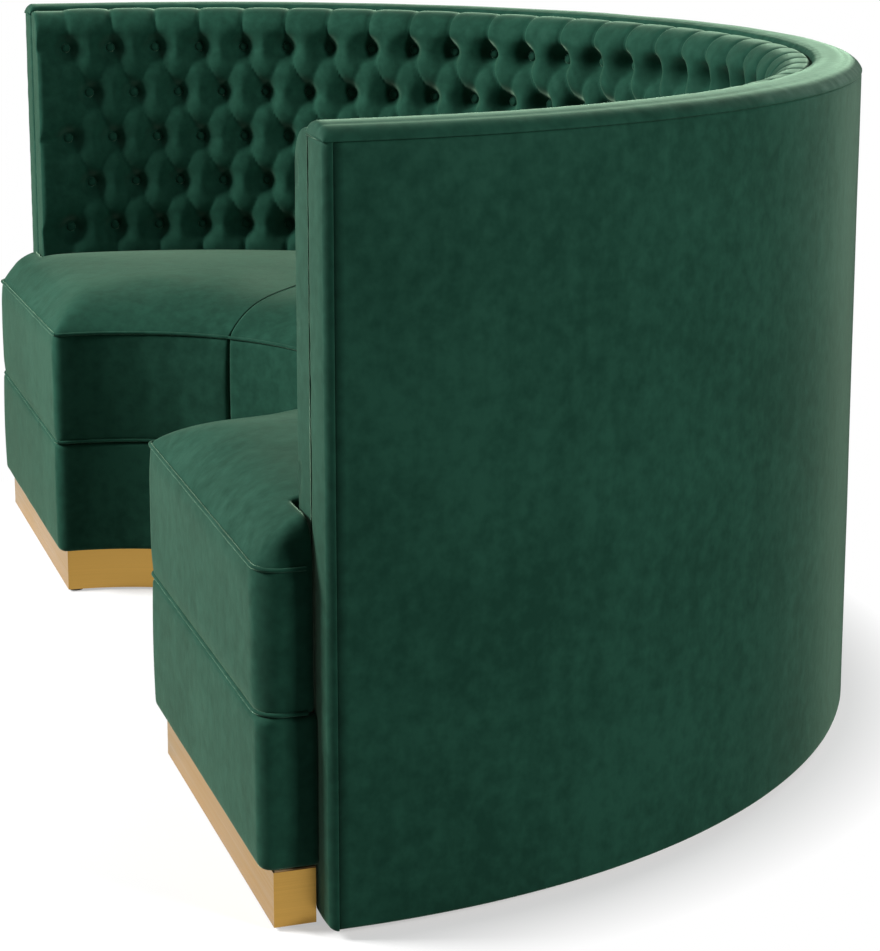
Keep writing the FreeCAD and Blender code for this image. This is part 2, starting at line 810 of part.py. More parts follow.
def build_glides():
    """Nail-in glides that lift the sofa off the floor."""
    foot = Part.makeCylinder(number("glide_radius"), number("floor_gap"))
    nail_start = FreeCAD.Vector(0, 0, number("floor_gap"))
    nail = Part.makeCylinder(number("glide_nail_radius"), number("glide_nail_length"), nail_start)
    glide = foot.fuse(nail).removeSplitter()
    glides = []
    for place in glide_places():
        copy = glide.copy()
        copy.translate(place)
        glides.append(copy)
    shape_part("floor_glides", Part.makeCompound(glides))


def check_and_write():
    """Stop on a failed piece, and write each sub-part to its own file."""
    doc.recompute()
    for item in doc.Objects:
        if "Invalid" in item.State or "Error" in item.State:
            raise RuntimeError(f"{item.Name} failed: {item.State}")
    for piece in sub_parts:
        if piece.Shape.isNull() or not piece.Shape.isValid():
            raise RuntimeError(f"{piece.Label} has no valid shape")
    os.makedirs("parts", exist_ok=True)
    for piece in sub_parts:
        piece.Shape.exportStep(f"parts/{piece.Label}.step")
        print(piece.Label, len(piece.Shape.Solids), round(piece.Shape.Volume / 1000), "cm3")


build_wall()
build_wall_ends()
build_top_border()
build_studs()
build_back_pad()
build_base()
build_ribs()
build_wall_screws()
build_cushion("right", right_cushion, False)
build_cushion("centre", centre_cushion, False)
build_cushion("left", right_cushion, True)
build_plinth()
build_glides()
check_and_write()
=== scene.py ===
import json
import math

import bpy
import numpy as np
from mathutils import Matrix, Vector, noise


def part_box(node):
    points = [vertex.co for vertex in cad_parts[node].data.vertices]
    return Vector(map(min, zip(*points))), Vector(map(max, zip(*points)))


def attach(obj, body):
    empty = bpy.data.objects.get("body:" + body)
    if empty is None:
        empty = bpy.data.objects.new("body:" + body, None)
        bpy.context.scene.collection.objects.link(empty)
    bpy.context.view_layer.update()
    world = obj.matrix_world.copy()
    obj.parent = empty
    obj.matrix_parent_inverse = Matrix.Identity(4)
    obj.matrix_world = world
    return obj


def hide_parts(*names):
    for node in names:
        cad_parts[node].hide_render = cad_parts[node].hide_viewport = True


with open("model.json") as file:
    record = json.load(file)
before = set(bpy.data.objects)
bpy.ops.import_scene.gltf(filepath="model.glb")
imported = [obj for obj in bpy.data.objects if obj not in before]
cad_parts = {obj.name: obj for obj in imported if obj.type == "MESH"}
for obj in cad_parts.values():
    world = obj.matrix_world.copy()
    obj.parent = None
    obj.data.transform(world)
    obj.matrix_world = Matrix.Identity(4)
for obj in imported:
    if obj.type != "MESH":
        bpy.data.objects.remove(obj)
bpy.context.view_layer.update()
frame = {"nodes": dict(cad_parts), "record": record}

bl_info = {
    "name": "Booth sofa",
    "version": (1, 0, 0),
    "blender": (4, 5, 0),
    "location": "View3D > Sidebar > Booth sofa",
    "description": "Velvet, buttons, cushions and brass for a half-round booth sofa on its packed frame",
    "category": "Object",
}

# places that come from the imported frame, in metres
COVER_LOW, COVER_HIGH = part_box("outer_back_cover")
BORDER_LOW, BORDER_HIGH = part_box("end_border_right")
RIM_LOW, RIM_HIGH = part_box("top_border")
PAD_LOW, PAD_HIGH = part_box("tufted_pad_end_right")
BASE_LOW, BASE_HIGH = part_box("base_cover")
CUSHION_LOW, CUSHION_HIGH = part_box("cushion_cover_right")
SEAT_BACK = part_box("cushion_cover_centre")[1].y

WALL_RADIUS = COVER_HIGH.x
ARC_Y = COVER_HIGH.y - WALL_RADIUS
RIM_INNER = BORDER_LOW.x
WALL_END = ARC_Y - RIM_LOW.y
COVER_END = ARC_Y - COVER_LOW.y
PAD_BACK = PAD_HIGH.x
PAD_BOTTOM = PAD_LOW.z
PAD_END = ARC_Y - PAD_LOW.y
BASE_SIDE = BASE_HIGH.x
BASE_END = ARC_Y - BASE_LOW.y
CUSHION_FLOOR = CUSHION_LOW.z
CUSHION_CROWN = CUSHION_HIGH.z
PAD_LENGTHS = ("end_left", "side_left", "centre", "side_right", "end_right")

# room that the soft work leaves inside its own solid, and mesh steps between two buttons
HAIR = 0.0005
STEPS_PER_PITCH = 20


def length(name, description, default):
    """A size in metres that a user may change."""
    return bpy.props.FloatProperty(name=name, description=description, default=default, unit="LENGTH")


def number(name, description, default):
    """A plain number that a user may change, whole where its default is."""
    kind = bpy.props.IntProperty if isinstance(default, int) else bpy.props.FloatProperty
    return kind(name=name, description=description, default=default)


def tint(name, description, default):
    """A colour that a user may change."""
    return bpy.props.FloatVectorProperty(
        name=name, description=description, default=default, subtype="COLOR", size=3)


class SofaSizes(bpy.types.PropertyGroup):
    """Sizes of the soft work that a user may change."""

    pad_front: length("Pad face", "Radius of the crowns of the buttoned back", 0.9388)
    pad_roll: length("Pad roll", "Radius of the roll along the top of the buttoned back", 0.05)
    tuft_depth: length("Tuft depth", "From the crown of a puff to the seat of its buttons", 0.039)
    button_seat: length("Button seat", "Radius at which the buttons sit", 0.978)
    button_radius: length("Button radius", "Radius of a covered button", 0.0095)
    button_margin: length("Button margin", "From the start of the arc to the first column of buttons", 0.022)
    button_columns: number("Columns", "Buttons in the top row", 36)
    button_rows: number("Rows", "Rows of buttons", 5)
    top_row: length("Top row", "Level of the top row of buttons", 0.917)
    row_pitch: length("Row pitch", "From one row of buttons to the next", 0.0873)
    hollow_floor: length("Hollow floor", "Radius of the flat bottom of a hollow", 0.0075)
    hollow_slope: length("Hollow slope", "Reach of a hollow's sloping side", 0.016)
    fold_depth: length("Fold depth", "Depth of the diagonal folds between buttons", 0.0098)
    puff_rise: length("Puff rise", "Rise of a puff's crown over the folds round it", 0.004)
    seat_front: length("Seat front", "Radius of the seat's curved front", 0.398)
    split_angle: bpy.props.FloatProperty(
        name="Split angle", description="Where the end cushions meet the centre cushion",
        default=math.radians(44.75), subtype="ANGLE")
    cushion_seam: length("Cushion seam", "Level of the cushions' upper seam", 0.471)
    seam_fall: length("Seam fall", "Fall of the seam from an end cushion's front to its side", 0.01)
    cushion_roll: number("Cushion roll", "Fullness of the roll over a cushion's front edge", 5.5)
    cushion_step: length("Cushion mesh", "Mesh step of a cushion before it swells", 0.0105)
    cushion_pressure: number("Cushion pressure", "Pressure that swells a cushion", 2.4)
    cushion_swell: number("Cushion swell", "Share of the simulated swelling that is kept", 0.42)
    cushion_even: number("Cushion evening", "Rounds of smoothing of the simulated swelling", 10)
    cushion_gap: length("Cushion gap", "Room between a cushion's front corner and the split", 0.0007)
    welt_radius: length("Welt radius", "Radius of the cushions' piping", 0.0028)


class SofaColours(bpy.types.PropertyGroup):
    """Colours that a user may change."""

    velvet: tint("Velvet", "Velvet seen straight on", (0.0056, 0.038, 0.023))
    velvet_light: tint("Brushed velvet", "Velvet where the nap lies the other way", (0.009, 0.057, 0.035))
    velvet_sheen: tint("Velvet sheen", "Tint of the sheen at a low angle", (0.6, 0.92, 0.64))
    brass: tint("Brass", "Brushed brass of the plinth", (0.43, 0.25, 0.06))
    plywood: tint("Plywood", "Raw birch plywood", (0.52, 0.35, 0.18))
    timber: tint("Timber", "Planed softwood", (0.48, 0.3, 0.14))
    lining: tint("Lining", "Woven lining under the cushions", (0.012, 0.012, 0.014))


class SofaSettings(bpy.types.PropertyGroup):
    """Everything that a user may change."""

    sizes: bpy.props.PointerProperty(type=SofaSizes)
    colours: bpy.props.PointerProperty(type=SofaColours)


def sizes():
    return bpy.context.scene.booth_sofa.sizes


def colours():
    return bpy.context.scene.booth_sofa.colours


# node trees

class Field:
    """A value in a node tree, so that a rule can be written as plain arithmetic."""

    def __init__(self, tree, socket):
        self.tree = tree
        self.socket = socket

    def maths(self, operation, *terms):
        node = add_node(self.tree, "ShaderNodeMath", dict(enumerate((self, *terms))), operation=operation)
        return Field(self.tree, node.outputs[0])

    def __add__(self, other):
        return self.maths("ADD", other)

    def __sub__(self, other):
        return self.maths("SUBTRACT", other)

    def __mul__(self, other):
        return self.maths("MULTIPLY", other)

    def __truediv__(self, other):
        return self.maths("DIVIDE", other)

    def __pow__(self, other):
        return self.maths("POWER", other)

    def larger(self, other):
        return self.maths("MAXIMUM", other)

    def smaller(self, other):
        return self.maths("MINIMUM", other)

    def rest(self):
        """What is missing to one."""
        return self * -1.0 + 1.0

    def wave(self):
        """Zero at whole numbers and one halfway between them."""
        return (self.maths("FRACT") * math.pi).maths("SINE").larger(0.0)

    def from_whole(self):
        """Distance to the nearest whole number."""
        return (self - self.maths("ROUND")).maths("ABSOLUTE")

    def fade(self, reach):
        """One at zero, falling off over a reach."""
        return (self.maths("ABSOLUTE") / reach * -1.0).maths("EXPONENT")


def feed(tree, node, inputs):
    """Give each input of a node its plain value, or a link from another node."""
    for name, source in inputs.items():
        if isinstance(source, Field):
            source = source.socket
        if isinstance(source, bpy.types.NodeSocket):
            tree.links.new(source, node.inputs[name])
        else:
            node.inputs[name].default_value = source


def add_node(tree, kind, inputs, **settings):
    """A new node with its settings and inputs."""
    node = tree.nodes.new(kind)
    for name, value in settings.items():
        setattr(node, name, value)
    feed(tree, node, inputs)
    return node


def group_inputs(tree):
    """The named inputs of a node group, as fields."""
    node = tree.nodes.new("NodeGroupInput")
    return {socket.name: Field(tree, socket) for socket in node.outputs if socket.name}


def add_noise(tree, place, scale, detail=2.0, rough=0.5):
    """Noise read at a place."""
    texture = add_node(tree, "ShaderNodeTexNoise", {
        "Vector": place, "Scale": scale, "Detail": detail, "Roughness": rough})
    return Field(tree, texture.outputs["Fac"])


def add_range(tree, value, old, new):
    """A value mapped from an old range to a new one, and held at its ends."""
    remap = add_node(tree, "ShaderNodeMapRange", {
        "Value": value, "From Min": old[0], "From Max": old[1], "To Min": new[0], "To Max": new[1]})
    return Field(tree, remap.outputs["Result"])


def add_mix(tree, share, first, second):
    """A colour between two colours."""
    return add_node(tree, "ShaderNodeMix", {0: share, 6: first, 7: second}, data_type="RGBA").outputs[2]


def stretched(tree, scale):
    """The object's own place, stretched along the axes."""
    mapping = add_node(tree, "ShaderNodeMapping", {"Vector": object_place(tree), "Scale": scale})
    return mapping.outputs["Vector"]


def object_place(tree):
    return tree.nodes.new("ShaderNodeTexCoord").outputs["Object"]


# materials

def effect_group(name, inputs):
    """A new shader group that is to put out a colour, a roughness and a height. Returns its inputs too."""
    group = bpy.data.node_groups.new(name, "ShaderNodeTree")
    for label, kind, value in inputs:
        socket = group.interface.new_socket(label, in_out="INPUT", socket_type=f"NodeSocket{kind}")
        socket.default_value = value
    for label, kind in (("Colour", "Color"), ("Roughness", "Float"), ("Height", "Float")):
        group.interface.new_socket(label, in_out="OUTPUT", socket_type=f"NodeSocket{kind}")
    return group, group_inputs(group)


def nap_group():
    """Velvet's nap: soft patches where it was brushed, streaks, and a fine pile."""
    group, given = effect_group("velvet nap", (
        ("Deep", "Color", (0, 0, 0, 1)), ("Light", "Color", (1, 1, 1, 1)), ("Patch Scale", "Float", 3.0)))
    place = object_place(group)
    patches = add_noise(group, place, given["Patch Scale"], detail=3.0)
    streaks = add_noise(group, stretched(group, (26.0, 26.0, 5.0)), 1.0, detail=3.0, rough=0.6)
    mottle = add_noise(group, place, 48.0, rough=0.6)
    pile = add_noise(group, place, 900.0, detail=1.0)
    worn = patches * 0.4 + streaks * 0.2 + mottle * 0.4
    share = add_range(group, worn, (0.40, 0.60), (0.0, 1.0))
    add_node(group, "NodeGroupOutput", {
        "Colour": add_mix(group, share, given["Deep"], given["Light"]),
        "Roughness": add_range(group, share, (0.0, 1.0), (0.92, 0.78)),
        "Height": pile * 0.35 + mottle})
    return group


def grain_group():
    """Long streaks along one axis, for brushed metal and for wood."""
    name = "long grain"
    if name in bpy.data.node_groups:
        return bpy.data.node_groups[name]
    group, given = effect_group(name, (
        ("Place", "Vector", (0, 0, 0)), ("Dark", "Color", (0, 0, 0, 1)), ("Light", "Color", (1, 1, 1, 1)),
        ("Smooth", "Float", 0.25), ("Rough", "Float", 0.45)))
    fine = add_noise(group, given["Place"], 1.0, detail=4.0, rough=0.65)
    broad = add_noise(group, object_place(group), 6.0)
    share = add_range(group, fine * 0.75 + broad * 0.25, (0.35, 0.65), (0.0, 1.0))
    add_node(group, "NodeGroupOutput", {
        "Colour": add_mix(group, share, given["Dark"], given["Light"]),
        "Roughness": add_range(group, share, (0.0, 1.0), (given["Smooth"], given["Rough"])),
        "Height": fine})
    return group


def new_material(name):
    material = bpy.data.materials.new(name)
    material.use_nodes = True
    return material, material.node_tree


def dress(tree, colour, roughness, height, bump, plain):
    """Feed a material's shader: colour, roughness and bump over the surface, the rest as plain values."""
    strength, distance = bump
    relief = add_node(tree, "ShaderNodeBump", {"Strength": strength, "Distance": distance, "Height": height})
    feed(tree, tree.nodes["Principled BSDF"], {
        "Base Color": colour, "Roughness": roughness, "Normal": relief.outputs["Normal"], **plain})


def dress_with(tree, group, values, bump, plain):
    """Feed a material's shader from a group with its own values."""
    effect = add_node(tree, "ShaderNodeGroup", values, node_tree=group).outputs
    dress(tree, effect["Colour"], effect["Roughness"], effect["Height"], bump, plain)


def opaque(colour, share=1.0):
    return (colour[0] * share, colour[1] * share, colour[2] * share, 1.0)


def velvet():
    """Emerald velvet with a sheen that lights its turned edges."""
    name = "emerald velvet"
    if name in bpy.data.materials:
        return bpy.data.materials[name]
    chosen = colours()
    material, tree = new_material(name)
    dress_with(
        tree, nap_group(),
        {"Deep": opaque(chosen.velvet), "Light": opaque(chosen.velvet_light), "Patch Scale": 3.2},
        bump=(0.25, 0.0012),
        plain={"Specular IOR Level": 0.12, "Sheen Weight": 0.6, "Sheen Roughness": 0.3,
               "Sheen Tint": opaque(chosen.velvet_sheen)})
    return material


def lining():
    """Black woven lining."""
    name = "black lining"
    if name in bpy.data.materials:
        return bpy.data.materials[name]
    material, tree = new_material(name)
    thread = colours().lining
    place = object_place(tree)
    weave = add_node(tree, "ShaderNodeTexChecker", {
        "Vector": place, "Scale": 620.0, "Color1": opaque(thread), "Color2": opaque(thread, 2.6)})
    roughness = add_range(tree, add_noise(tree, place, 9.0, detail=3.0), (0.3, 0.7), (0.78, 0.95))
    dress(tree, weave.outputs["Color"], roughness, weave.outputs["Fac"], bump=(0.3, 0.0004), plain={})
    return material


def grained(name, colour, grain, roughness, bump, contrast=0.75, plain=None):
    """Wood, metal, nylon or foam, with its grain along the axis of least scale."""
    if name in bpy.data.materials:
        return bpy.data.materials[name]
    material, tree = new_material(name)
    smooth, rough = roughness
    dress_with(
        tree, grain_group(),
        {"Place": stretched(tree, grain), "Dark": opaque(colour, contrast), "Light": opaque(colour),
         "Smooth": smooth, "Rough": rough},
        bump=(bump, 0.0004), plain=plain or {})
    return material


def finishes():
    """The finish of each material slot in the record."""
    chosen = colours()
    return {
        "plywood": grained("birch plywood", chosen.plywood, (6.0, 6.0, 70.0), (0.55, 0.72), 0.2),
        "timber": grained("planed softwood", chosen.timber, (45.0, 45.0, 2.5), (0.5, 0.7), 0.2),
        "lining": lining(),
        "brass": grained("brushed brass", chosen.brass, (1.5, 1.5, 420.0), (0.26, 0.42), 0.05, 0.86,
                         {"Metallic": 1.0, "Anisotropic": 0.35}),
        "nylon": grained("black nylon", (0.02, 0.02, 0.021), (90.0, 90.0, 90.0), (0.4, 0.55), 0.1),
        "steel": grained("zinc steel", (0.5, 0.51, 0.53), (60.0, 60.0, 60.0), (0.3, 0.5), 0.1,
                         plain={"Metallic": 1.0}),
        "foam": grained("upholstery foam", (0.72, 0.66, 0.46), (240.0, 240.0, 240.0), (0.9, 0.98), 0.6, 0.82),
        "velvet": velvet(),
    }


# meshes

def new_object(name, mesh):
    """Link a mesh into the scene, shaded smooth."""
    mesh.name = name
    mesh.polygons.foreach_set("use_smooth", [True] * len(mesh.polygons))
    mesh.update()
    piece = bpy.data.objects.new(name, mesh)
    bpy.context.scene.collection.objects.link(piece)
    return piece


def new_piece(name, points, faces, materials):
    """A smooth mesh object at the origin."""
    mesh = bpy.data.meshes.new(name)
    mesh.from_pydata([tuple(point) for point in points], [], [tuple(face) for face in faces])
    for material in materials:
        mesh.materials.append(material)
    return new_object(name, mesh)


def settle(piece, nodes, body="frame"):
    """Hand a finished velvet piece to the frame."""
    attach(piece, body)
    if nodes:
        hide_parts(*nodes)


def loft(rings):
    """Points and outward faces of closed rings joined in order, with the two ends filled."""
    rings = np.asarray(rings)
    count, around = rings.shape[:2]
    faces = []
    for ring in range(count - 1):
        for step in range(around):
            after = (step + 1) % around
            faces.append((ring * around + step, ring * around + after,
                          (ring + 1) * around + after, (ring + 1) * around + step))
    faces.append(tuple(range(around - 1, -1, -1)))
    faces.append(tuple(range((count - 1) * around, count * around)))
    return rings.reshape(-1, 3), faces


def padded_loft(name, rings, nodes):
    """A padded velvet piece through closed rings."""
    settle(new_piece(name, *loft(rings), [velvet()]), nodes)


def ripple(place, scale, seed, height):
    """Smooth noise at a place, up to a height to either side."""
    shift = Vector((seed * 7.3, seed * 3.1, seed * 5.7))
    return noise.noise(Vector(place) * scale + shift) * height


def horseshoe(leg, step, radius):
    """Stations along a horseshoe from its right leg to its left: angle, and how far along the leg."""
    along_leg = max(2, round(leg / step))
    along_arc = round(math.pi * radius / step)
    stations = [(0.0, -leg + leg * index / along_leg) for index in range(along_leg)]
    stations += [(math.pi * index / along_arc, 0.0) for index in range(along_arc + 1)]
    stations += [(math.pi, -leg * index / along_leg) for index in range(1, along_leg + 1)]
    return stations


def at_station(station, radius, level):
    """A point of the horseshoe at a radius and a level."""
    angle, along = station
    return (radius * math.cos(angle), ARC_Y + radius * math.sin(angle) + along, level)


def quarter(count):
    """Angles of a quarter turn in even steps, both ends included."""
    return [math.pi / 2 * index / count for index in range(count + 1)]


# outside of the back

class OuterBack(bpy.types.Operator):
    """Velvet over wadding on the outside of the curved wall, drawn round the bottom edge"""

    bl_idname = "booth_sofa.outer_back"
    bl_label = "Outer back"

    def execute(self, context):
        thickness = 0.0075
        turn = 0.006
        top_turn = 0.004
        slack = 0.0012
        rows = 72
        mesh_step = 0.013
        low = COVER_LOW.z + HAIR
        high = COVER_HIGH.z - HAIR
        profile = [(turn * (1 - math.sin(a)), low + turn * (1 - math.cos(a))) for a in quarter(4)]
        for row in range(1, rows):
            profile.append((0.0, low + turn + (high - 2 * turn - low) * row / rows))
        for angle in quarter(4):
            profile.append((top_turn * (1 - math.cos(angle)), high - turn + turn * math.sin(angle)))
        profile += [(thickness, high), (thickness, low)]
        rings = []
        for station in horseshoe(COVER_END, mesh_step, WALL_RADIUS):
            ring = []
            for inset, level in profile:
                point = at_station(station, WALL_RADIUS, level)
                wave = ripple(point, 2.6, 1, 0.0009) + ripple(point, 9.0, 2, 0.00035)
                if inset >= thickness:
                    wave = 0.0
                ring.append(at_station(station, WALL_RADIUS - slack - inset + wave, level))
            rings.append(ring)
        padded_loft("outer_back", rings, ("outer_back_cover", "outer_wadding"))
        return {"FINISHED"}


class Band:
    """A padded band lying flat across the wall's thickness, with puckers along its seams."""

    seam_reach = 0.012

    def __init__(self, height, turn, inner, puff, flat, firm, pucker, swell):
        self.width = WALL_RADIUS - RIM_INNER - 2 * HAIR
        self.height = height
        self.flat = flat
        self.firm = firm
        self.pucker = pucker
        self.swell = swell
        self.section = self.make_section(turn, inner, puff)

    def make_section(self, turn, inner, puff):
        """Closed section: its outer edge turned down by an angle, its inner edge rounded by a radius."""
        foot = 0.001
        bends = 9
        steps = 12
        flat = self.height - puff
        radius = (flat - foot) / (1 - math.cos(turn))
        outer = radius * math.sin(turn)
        section = [(0.0, 0.0)]
        for angle in np.linspace(turn, 0.0, bends):
            section.append((outer - radius * math.sin(angle), flat - radius * (1 - math.cos(angle))))
        for index in range(1, steps):
            share = index / steps
            across = outer + (self.width - outer - inner) * share
            section.append((across, flat + puff * math.sin(math.pi * share) ** 0.7))
        for angle in reversed(quarter(4)):
            section.append((self.width - inner * (1 - math.cos(angle)), flat - inner * (1 - math.sin(angle))))
        section.append((self.width, 0.0))
        return section

    def rise(self, point, across, up, share):
        """Height at a place of the section, less towards a rounded end where the share falls."""
        edge = min(across, self.width - across)
        pucker = ripple(point, *self.pucker) * math.exp(-edge / self.seam_reach)
        cloth = (pucker + ripple(point, *self.swell)) * share * (up > self.firm)
        return min(up * (self.flat + (1.0 - self.flat) * share) + cloth, self.height)


class Borders(bpy.types.Operator):
    """Padded bands along the wall's top and down its two ends, puckered along their seams"""

    bl_idname = "booth_sofa.borders"
    bl_label = "Borders"

    def execute(self, context):
        self.make_rim()
        for side, name in ((1, "right"), (-1, "left")):
            self.make_end(side, name)
        return {"FINISHED"}

    def make_rim(self):
        bottom = RIM_LOW.z
        band = Band(RIM_HIGH.z - bottom, math.radians(62.0), inner=0.008, puff=0.003, flat=0.25, firm=0.004,
                    pucker=(60.0, 3, 0.0011), swell=(7.0, 4, 0.0008))
        rounding = 0.009
        mesh_step = 0.006
        stations = [(station, 1.0) for station in horseshoe(WALL_END - rounding, mesh_step, WALL_RADIUS)]
        start = []
        for angle in reversed(quarter(5)[1:]):
            start.append(((0.0, -WALL_END + rounding - rounding * math.sin(angle)), math.cos(angle)))
        finish = [((math.pi, along), share) for (_, along), share in reversed(start)]
        rings = []
        for station, share in start + stations + finish:
            ring = []
            for across, up in band.section:
                radius = WALL_RADIUS - HAIR - across
                point = at_station(station, radius, bottom + up)
                ring.append(at_station(station, radius, bottom + band.rise(point, across, up, share)))
            rings.append(ring)
        padded_loft("rim_band", rings, ("top_border",))

    def make_end(self, side, name):
        band = Band(WALL_END - COVER_END, math.radians(84.0), inner=0.0075, puff=0.001, flat=0.4, firm=0.003,
                    pucker=(62.0, 5, 0.0012), swell=(8.0, 6, 0.0008))
        low = BORDER_LOW.z + HAIR
        high = BORDER_HIGH.z - HAIR
        rows = 190
        rounding = 0.006
        levels = [(low + rounding * (1 - math.cos(a)), math.sin(a)) for a in quarter(4)[1:]]
        for row in range(1, rows + 1):
            levels.append((low + rounding + (high - low - rounding) * row / rows, 1.0))
        rings = []
        for level, share in levels:
            ring = []
            for across, out in band.section:
                x = WALL_RADIUS - HAIR - across
                reach = band.rise((x, 0.0, level), across, out, share)
                ring.append((side * x, ARC_Y - COVER_END - reach, level))
            rings.append(ring if side > 0 else ring[::-1])
        padded_loft(f"end_band_{name}", rings, (f"end_border_{name}",))


# buttoned back

def geometry_tree(name, inputs):
    """A new geometry tree with a geometry in and out and named number inputs. Returns its inputs too."""
    tree = bpy.data.node_groups.new(name, "GeometryNodeTree")
    for way in ("INPUT", "OUTPUT"):
        tree.interface.new_socket("Geometry", in_out=way, socket_type="NodeSocketGeometry")
    for label, value in inputs.items():
        socket = tree.interface.new_socket(label, in_out="INPUT", socket_type="NodeSocketFloat")
        socket.default_value = value
    return tree, group_inputs(tree)


def stored(tree, name, kind="FLOAT"):
    """A value kept on the points under a name."""
    node = add_node(tree, "GeometryNodeInputNamedAttribute", {"Name": name}, data_type=kind)
    return Field(tree, node.outputs["Attribute"])


def close_tree(tree, geometry, material):
    """End a tree in real geometry with its material."""
    real = add_node(tree, "GeometryNodeRealizeInstances", {"Geometry": geometry})
    paint = add_node(tree, "GeometryNodeSetMaterial", {
        "Geometry": real.outputs["Geometry"], "Material": material})
    add_node(tree, "NodeGroupOutput", {"Geometry": paint.outputs["Geometry"]})


def grow(name, source, tree, values):
    """Run a geometry tree on a mesh and return the plain mesh as a new object."""
    seed = bpy.data.objects.new(f"{name}_source", source)
    bpy.context.scene.collection.objects.link(seed)
    modifier = seed.modifiers.new(tree.name, "NODES")
    modifier.node_group = tree
    for item in tree.interface.items_tree:
        if item.in_out == "INPUT" and item.name in values:
            modifier[item.identifier] = values[item.name]
    graph = bpy.context.evaluated_depsgraph_get()
    mesh = bpy.data.meshes.new_from_object(seed.evaluated_get(graph))
    seed.modifiers.remove(modifier)
    bpy.data.objects.remove(seed)
    return new_object(name, mesh)


def button_pitch():
    """Pitch of the columns of buttons along the arc on which they sit."""
    chosen = sizes()
    return (math.pi * chosen.button_seat - 2 * chosen.button_margin) / (chosen.button_columns - 1)


def button_distance(column, row, size, stagger):
    """Distance to the nearest button of every other row, in rows that start at stagger."""
    nearest_column = (column - stagger / 2).maths("ROUND").larger(0.0)
    nearest_column = nearest_column.smaller(size["Last Column"] - stagger) + stagger / 2
    nearest_row = ((row - stagger) * 0.5).maths("ROUND").larger(0.0) * 2.0 + stagger
    nearest_row = nearest_row.smaller(size["Last Row"] - stagger)
    across = (column - nearest_column) * size["Column Pitch"]
    down = (row - nearest_row) * size["Row Pitch"]
    return (across * across + down * down) ** 0.5


def tuft_tree(values):
    """Pushes a smooth pad back into buttoned hollows, diagonal folds and low puffs."""
    fold_width = 0.0055
    weak_share = 0.32
    fold_reach = 0.09
    puff_reach = 0.04
    pull_width = 0.0035
    pull_depth = 0.0014
    puff_variation = 0.3
    crown_fullness = 0.8
    hollow_steepness = 1.5
    tree, size = geometry_tree("buttoned tufting", values)
    column = stored(tree, "column")
    row = stored(tree, "row")
    weight = stored(tree, "weight")
    nearest = button_distance(column, row, size, 0.0).smaller(button_distance(column, row, size, 1.0))
    hollow = ((nearest - size["Floor"]).larger(0.0) / size["Slope"]) ** hollow_steepness
    hollow = (hollow * -1.0).maths("EXPONENT")
    held_column = column.larger(0.0).smaller(size["Last Column"])
    held_row = row.larger(0.0).smaller(size["Last Row"])
    rising = held_column + held_row * 0.5
    falling = held_column - held_row * 0.5
    steep = (size["Column Pitch"] ** -2.0 + size["Row Pitch"] ** -2.0 * 0.25) ** 0.5
    strong_fold = (rising.from_whole() / steep).fade(fold_width)
    weak_fold = (falling.from_whole() / steep).fade(fold_width)
    past_column = (column - held_column) * size["Column Pitch"]
    past_row = (row - held_row) * size["Row Pitch"]
    past = (past_column * past_column + past_row * past_row) ** 0.5
    folds = (strong_fold + weak_fold * weak_share) * size["Fold Depth"] * (past.fade(fold_reach) * 0.8 + 0.2)
    cell = add_node(tree, "ShaderNodeCombineXYZ", {"X": rising.maths("FLOOR"), "Y": falling.maths("FLOOR")})
    chance = add_node(tree, "ShaderNodeTexWhiteNoise", {"Vector": cell.outputs["Vector"]})
    fullness = Field(tree, chance.outputs["Value"]) * -puff_variation + 1.0
    crown = (rising.wave() * falling.wave()) ** crown_fullness * fullness
    low = crown.rest() * size["Puff"] * past.fade(puff_reach)
    pull = (row.from_whole() * size["Row Pitch"]).fade(pull_width) * column.wave() * pull_depth
    shallow = folds + low + pull
    push = (hollow * size["Depth"] + hollow.rest() * shallow) * weight
    offset = add_node(tree, "ShaderNodeVectorMath", {
        0: stored(tree, "facing", "FLOAT_VECTOR"), "Scale": push * -1.0}, operation="SCALE")
    move = add_node(tree, "GeometryNodeSetPosition", {
        "Geometry": size["Geometry"], "Offset": offset.outputs["Vector"]})
    close_tree(tree, move.outputs["Geometry"], velvet())
    return tree


def pad_profile():
    """Section of the plain pad from the rim seam over the roll, down behind the seat and up its back.

    Each place has its radius, its level, the way it faces and its share of the tufting.
    """
    chosen = sizes()
    front = chosen.pad_front
    roll = chosen.pad_roll
    step = chosen.row_pitch / STEPS_PER_PITCH
    top = PAD_HIGH.z - HAIR
    seat = 0.5
    tuck_run = 0.045
    tuck_depth = 0.004
    hidden = front + 0.006
    foot = PAD_BOTTOM + 0.001
    rim_seam = 0.012
    inward = (-1.0, 0.0)
    upward = (0.0, 1.0)
    profile = [(PAD_BACK - 0.0008, top - 0.006, (0.3, 0.95), 0.2),
               (PAD_BACK - 0.004, top - 0.001, upward, 0.35),
               (PAD_BACK - 0.009, top, upward, 0.5)]
    bends = round(roll * math.pi / 2 / step)
    for index in range(bends):
        turn = math.pi / 2 * index / bends
        radius = front + roll - roll * math.sin(turn)
        level = top - roll + roll * math.cos(turn)
        profile.append((radius, level, (-math.sin(turn), math.cos(turn)), 0.55 + 0.45 * index / bends))
    rows = round((top - roll - seat) / step)
    for index in range(rows + 1):
        level = top - roll - (top - roll - seat) * index / rows
        tuck = max(0.0, seat + tuck_run - level) / tuck_run
        profile.append((front + tuck_depth * tuck * tuck, level, inward, 1.0 - 0.4 * tuck))
    for share in (0.1, 0.3, 0.65, 0.97, 0.99, 1.0):
        profile.append((hidden, seat + (foot - seat) * share, inward, 0.35 * (1 - share)))
    for share in (0.05, 0.5, 1.0):
        profile.append((PAD_BACK - HAIR, foot + (top - rim_seam - PAD_BOTTOM) * share, (1.0, 0.0), 0.0))
    return profile


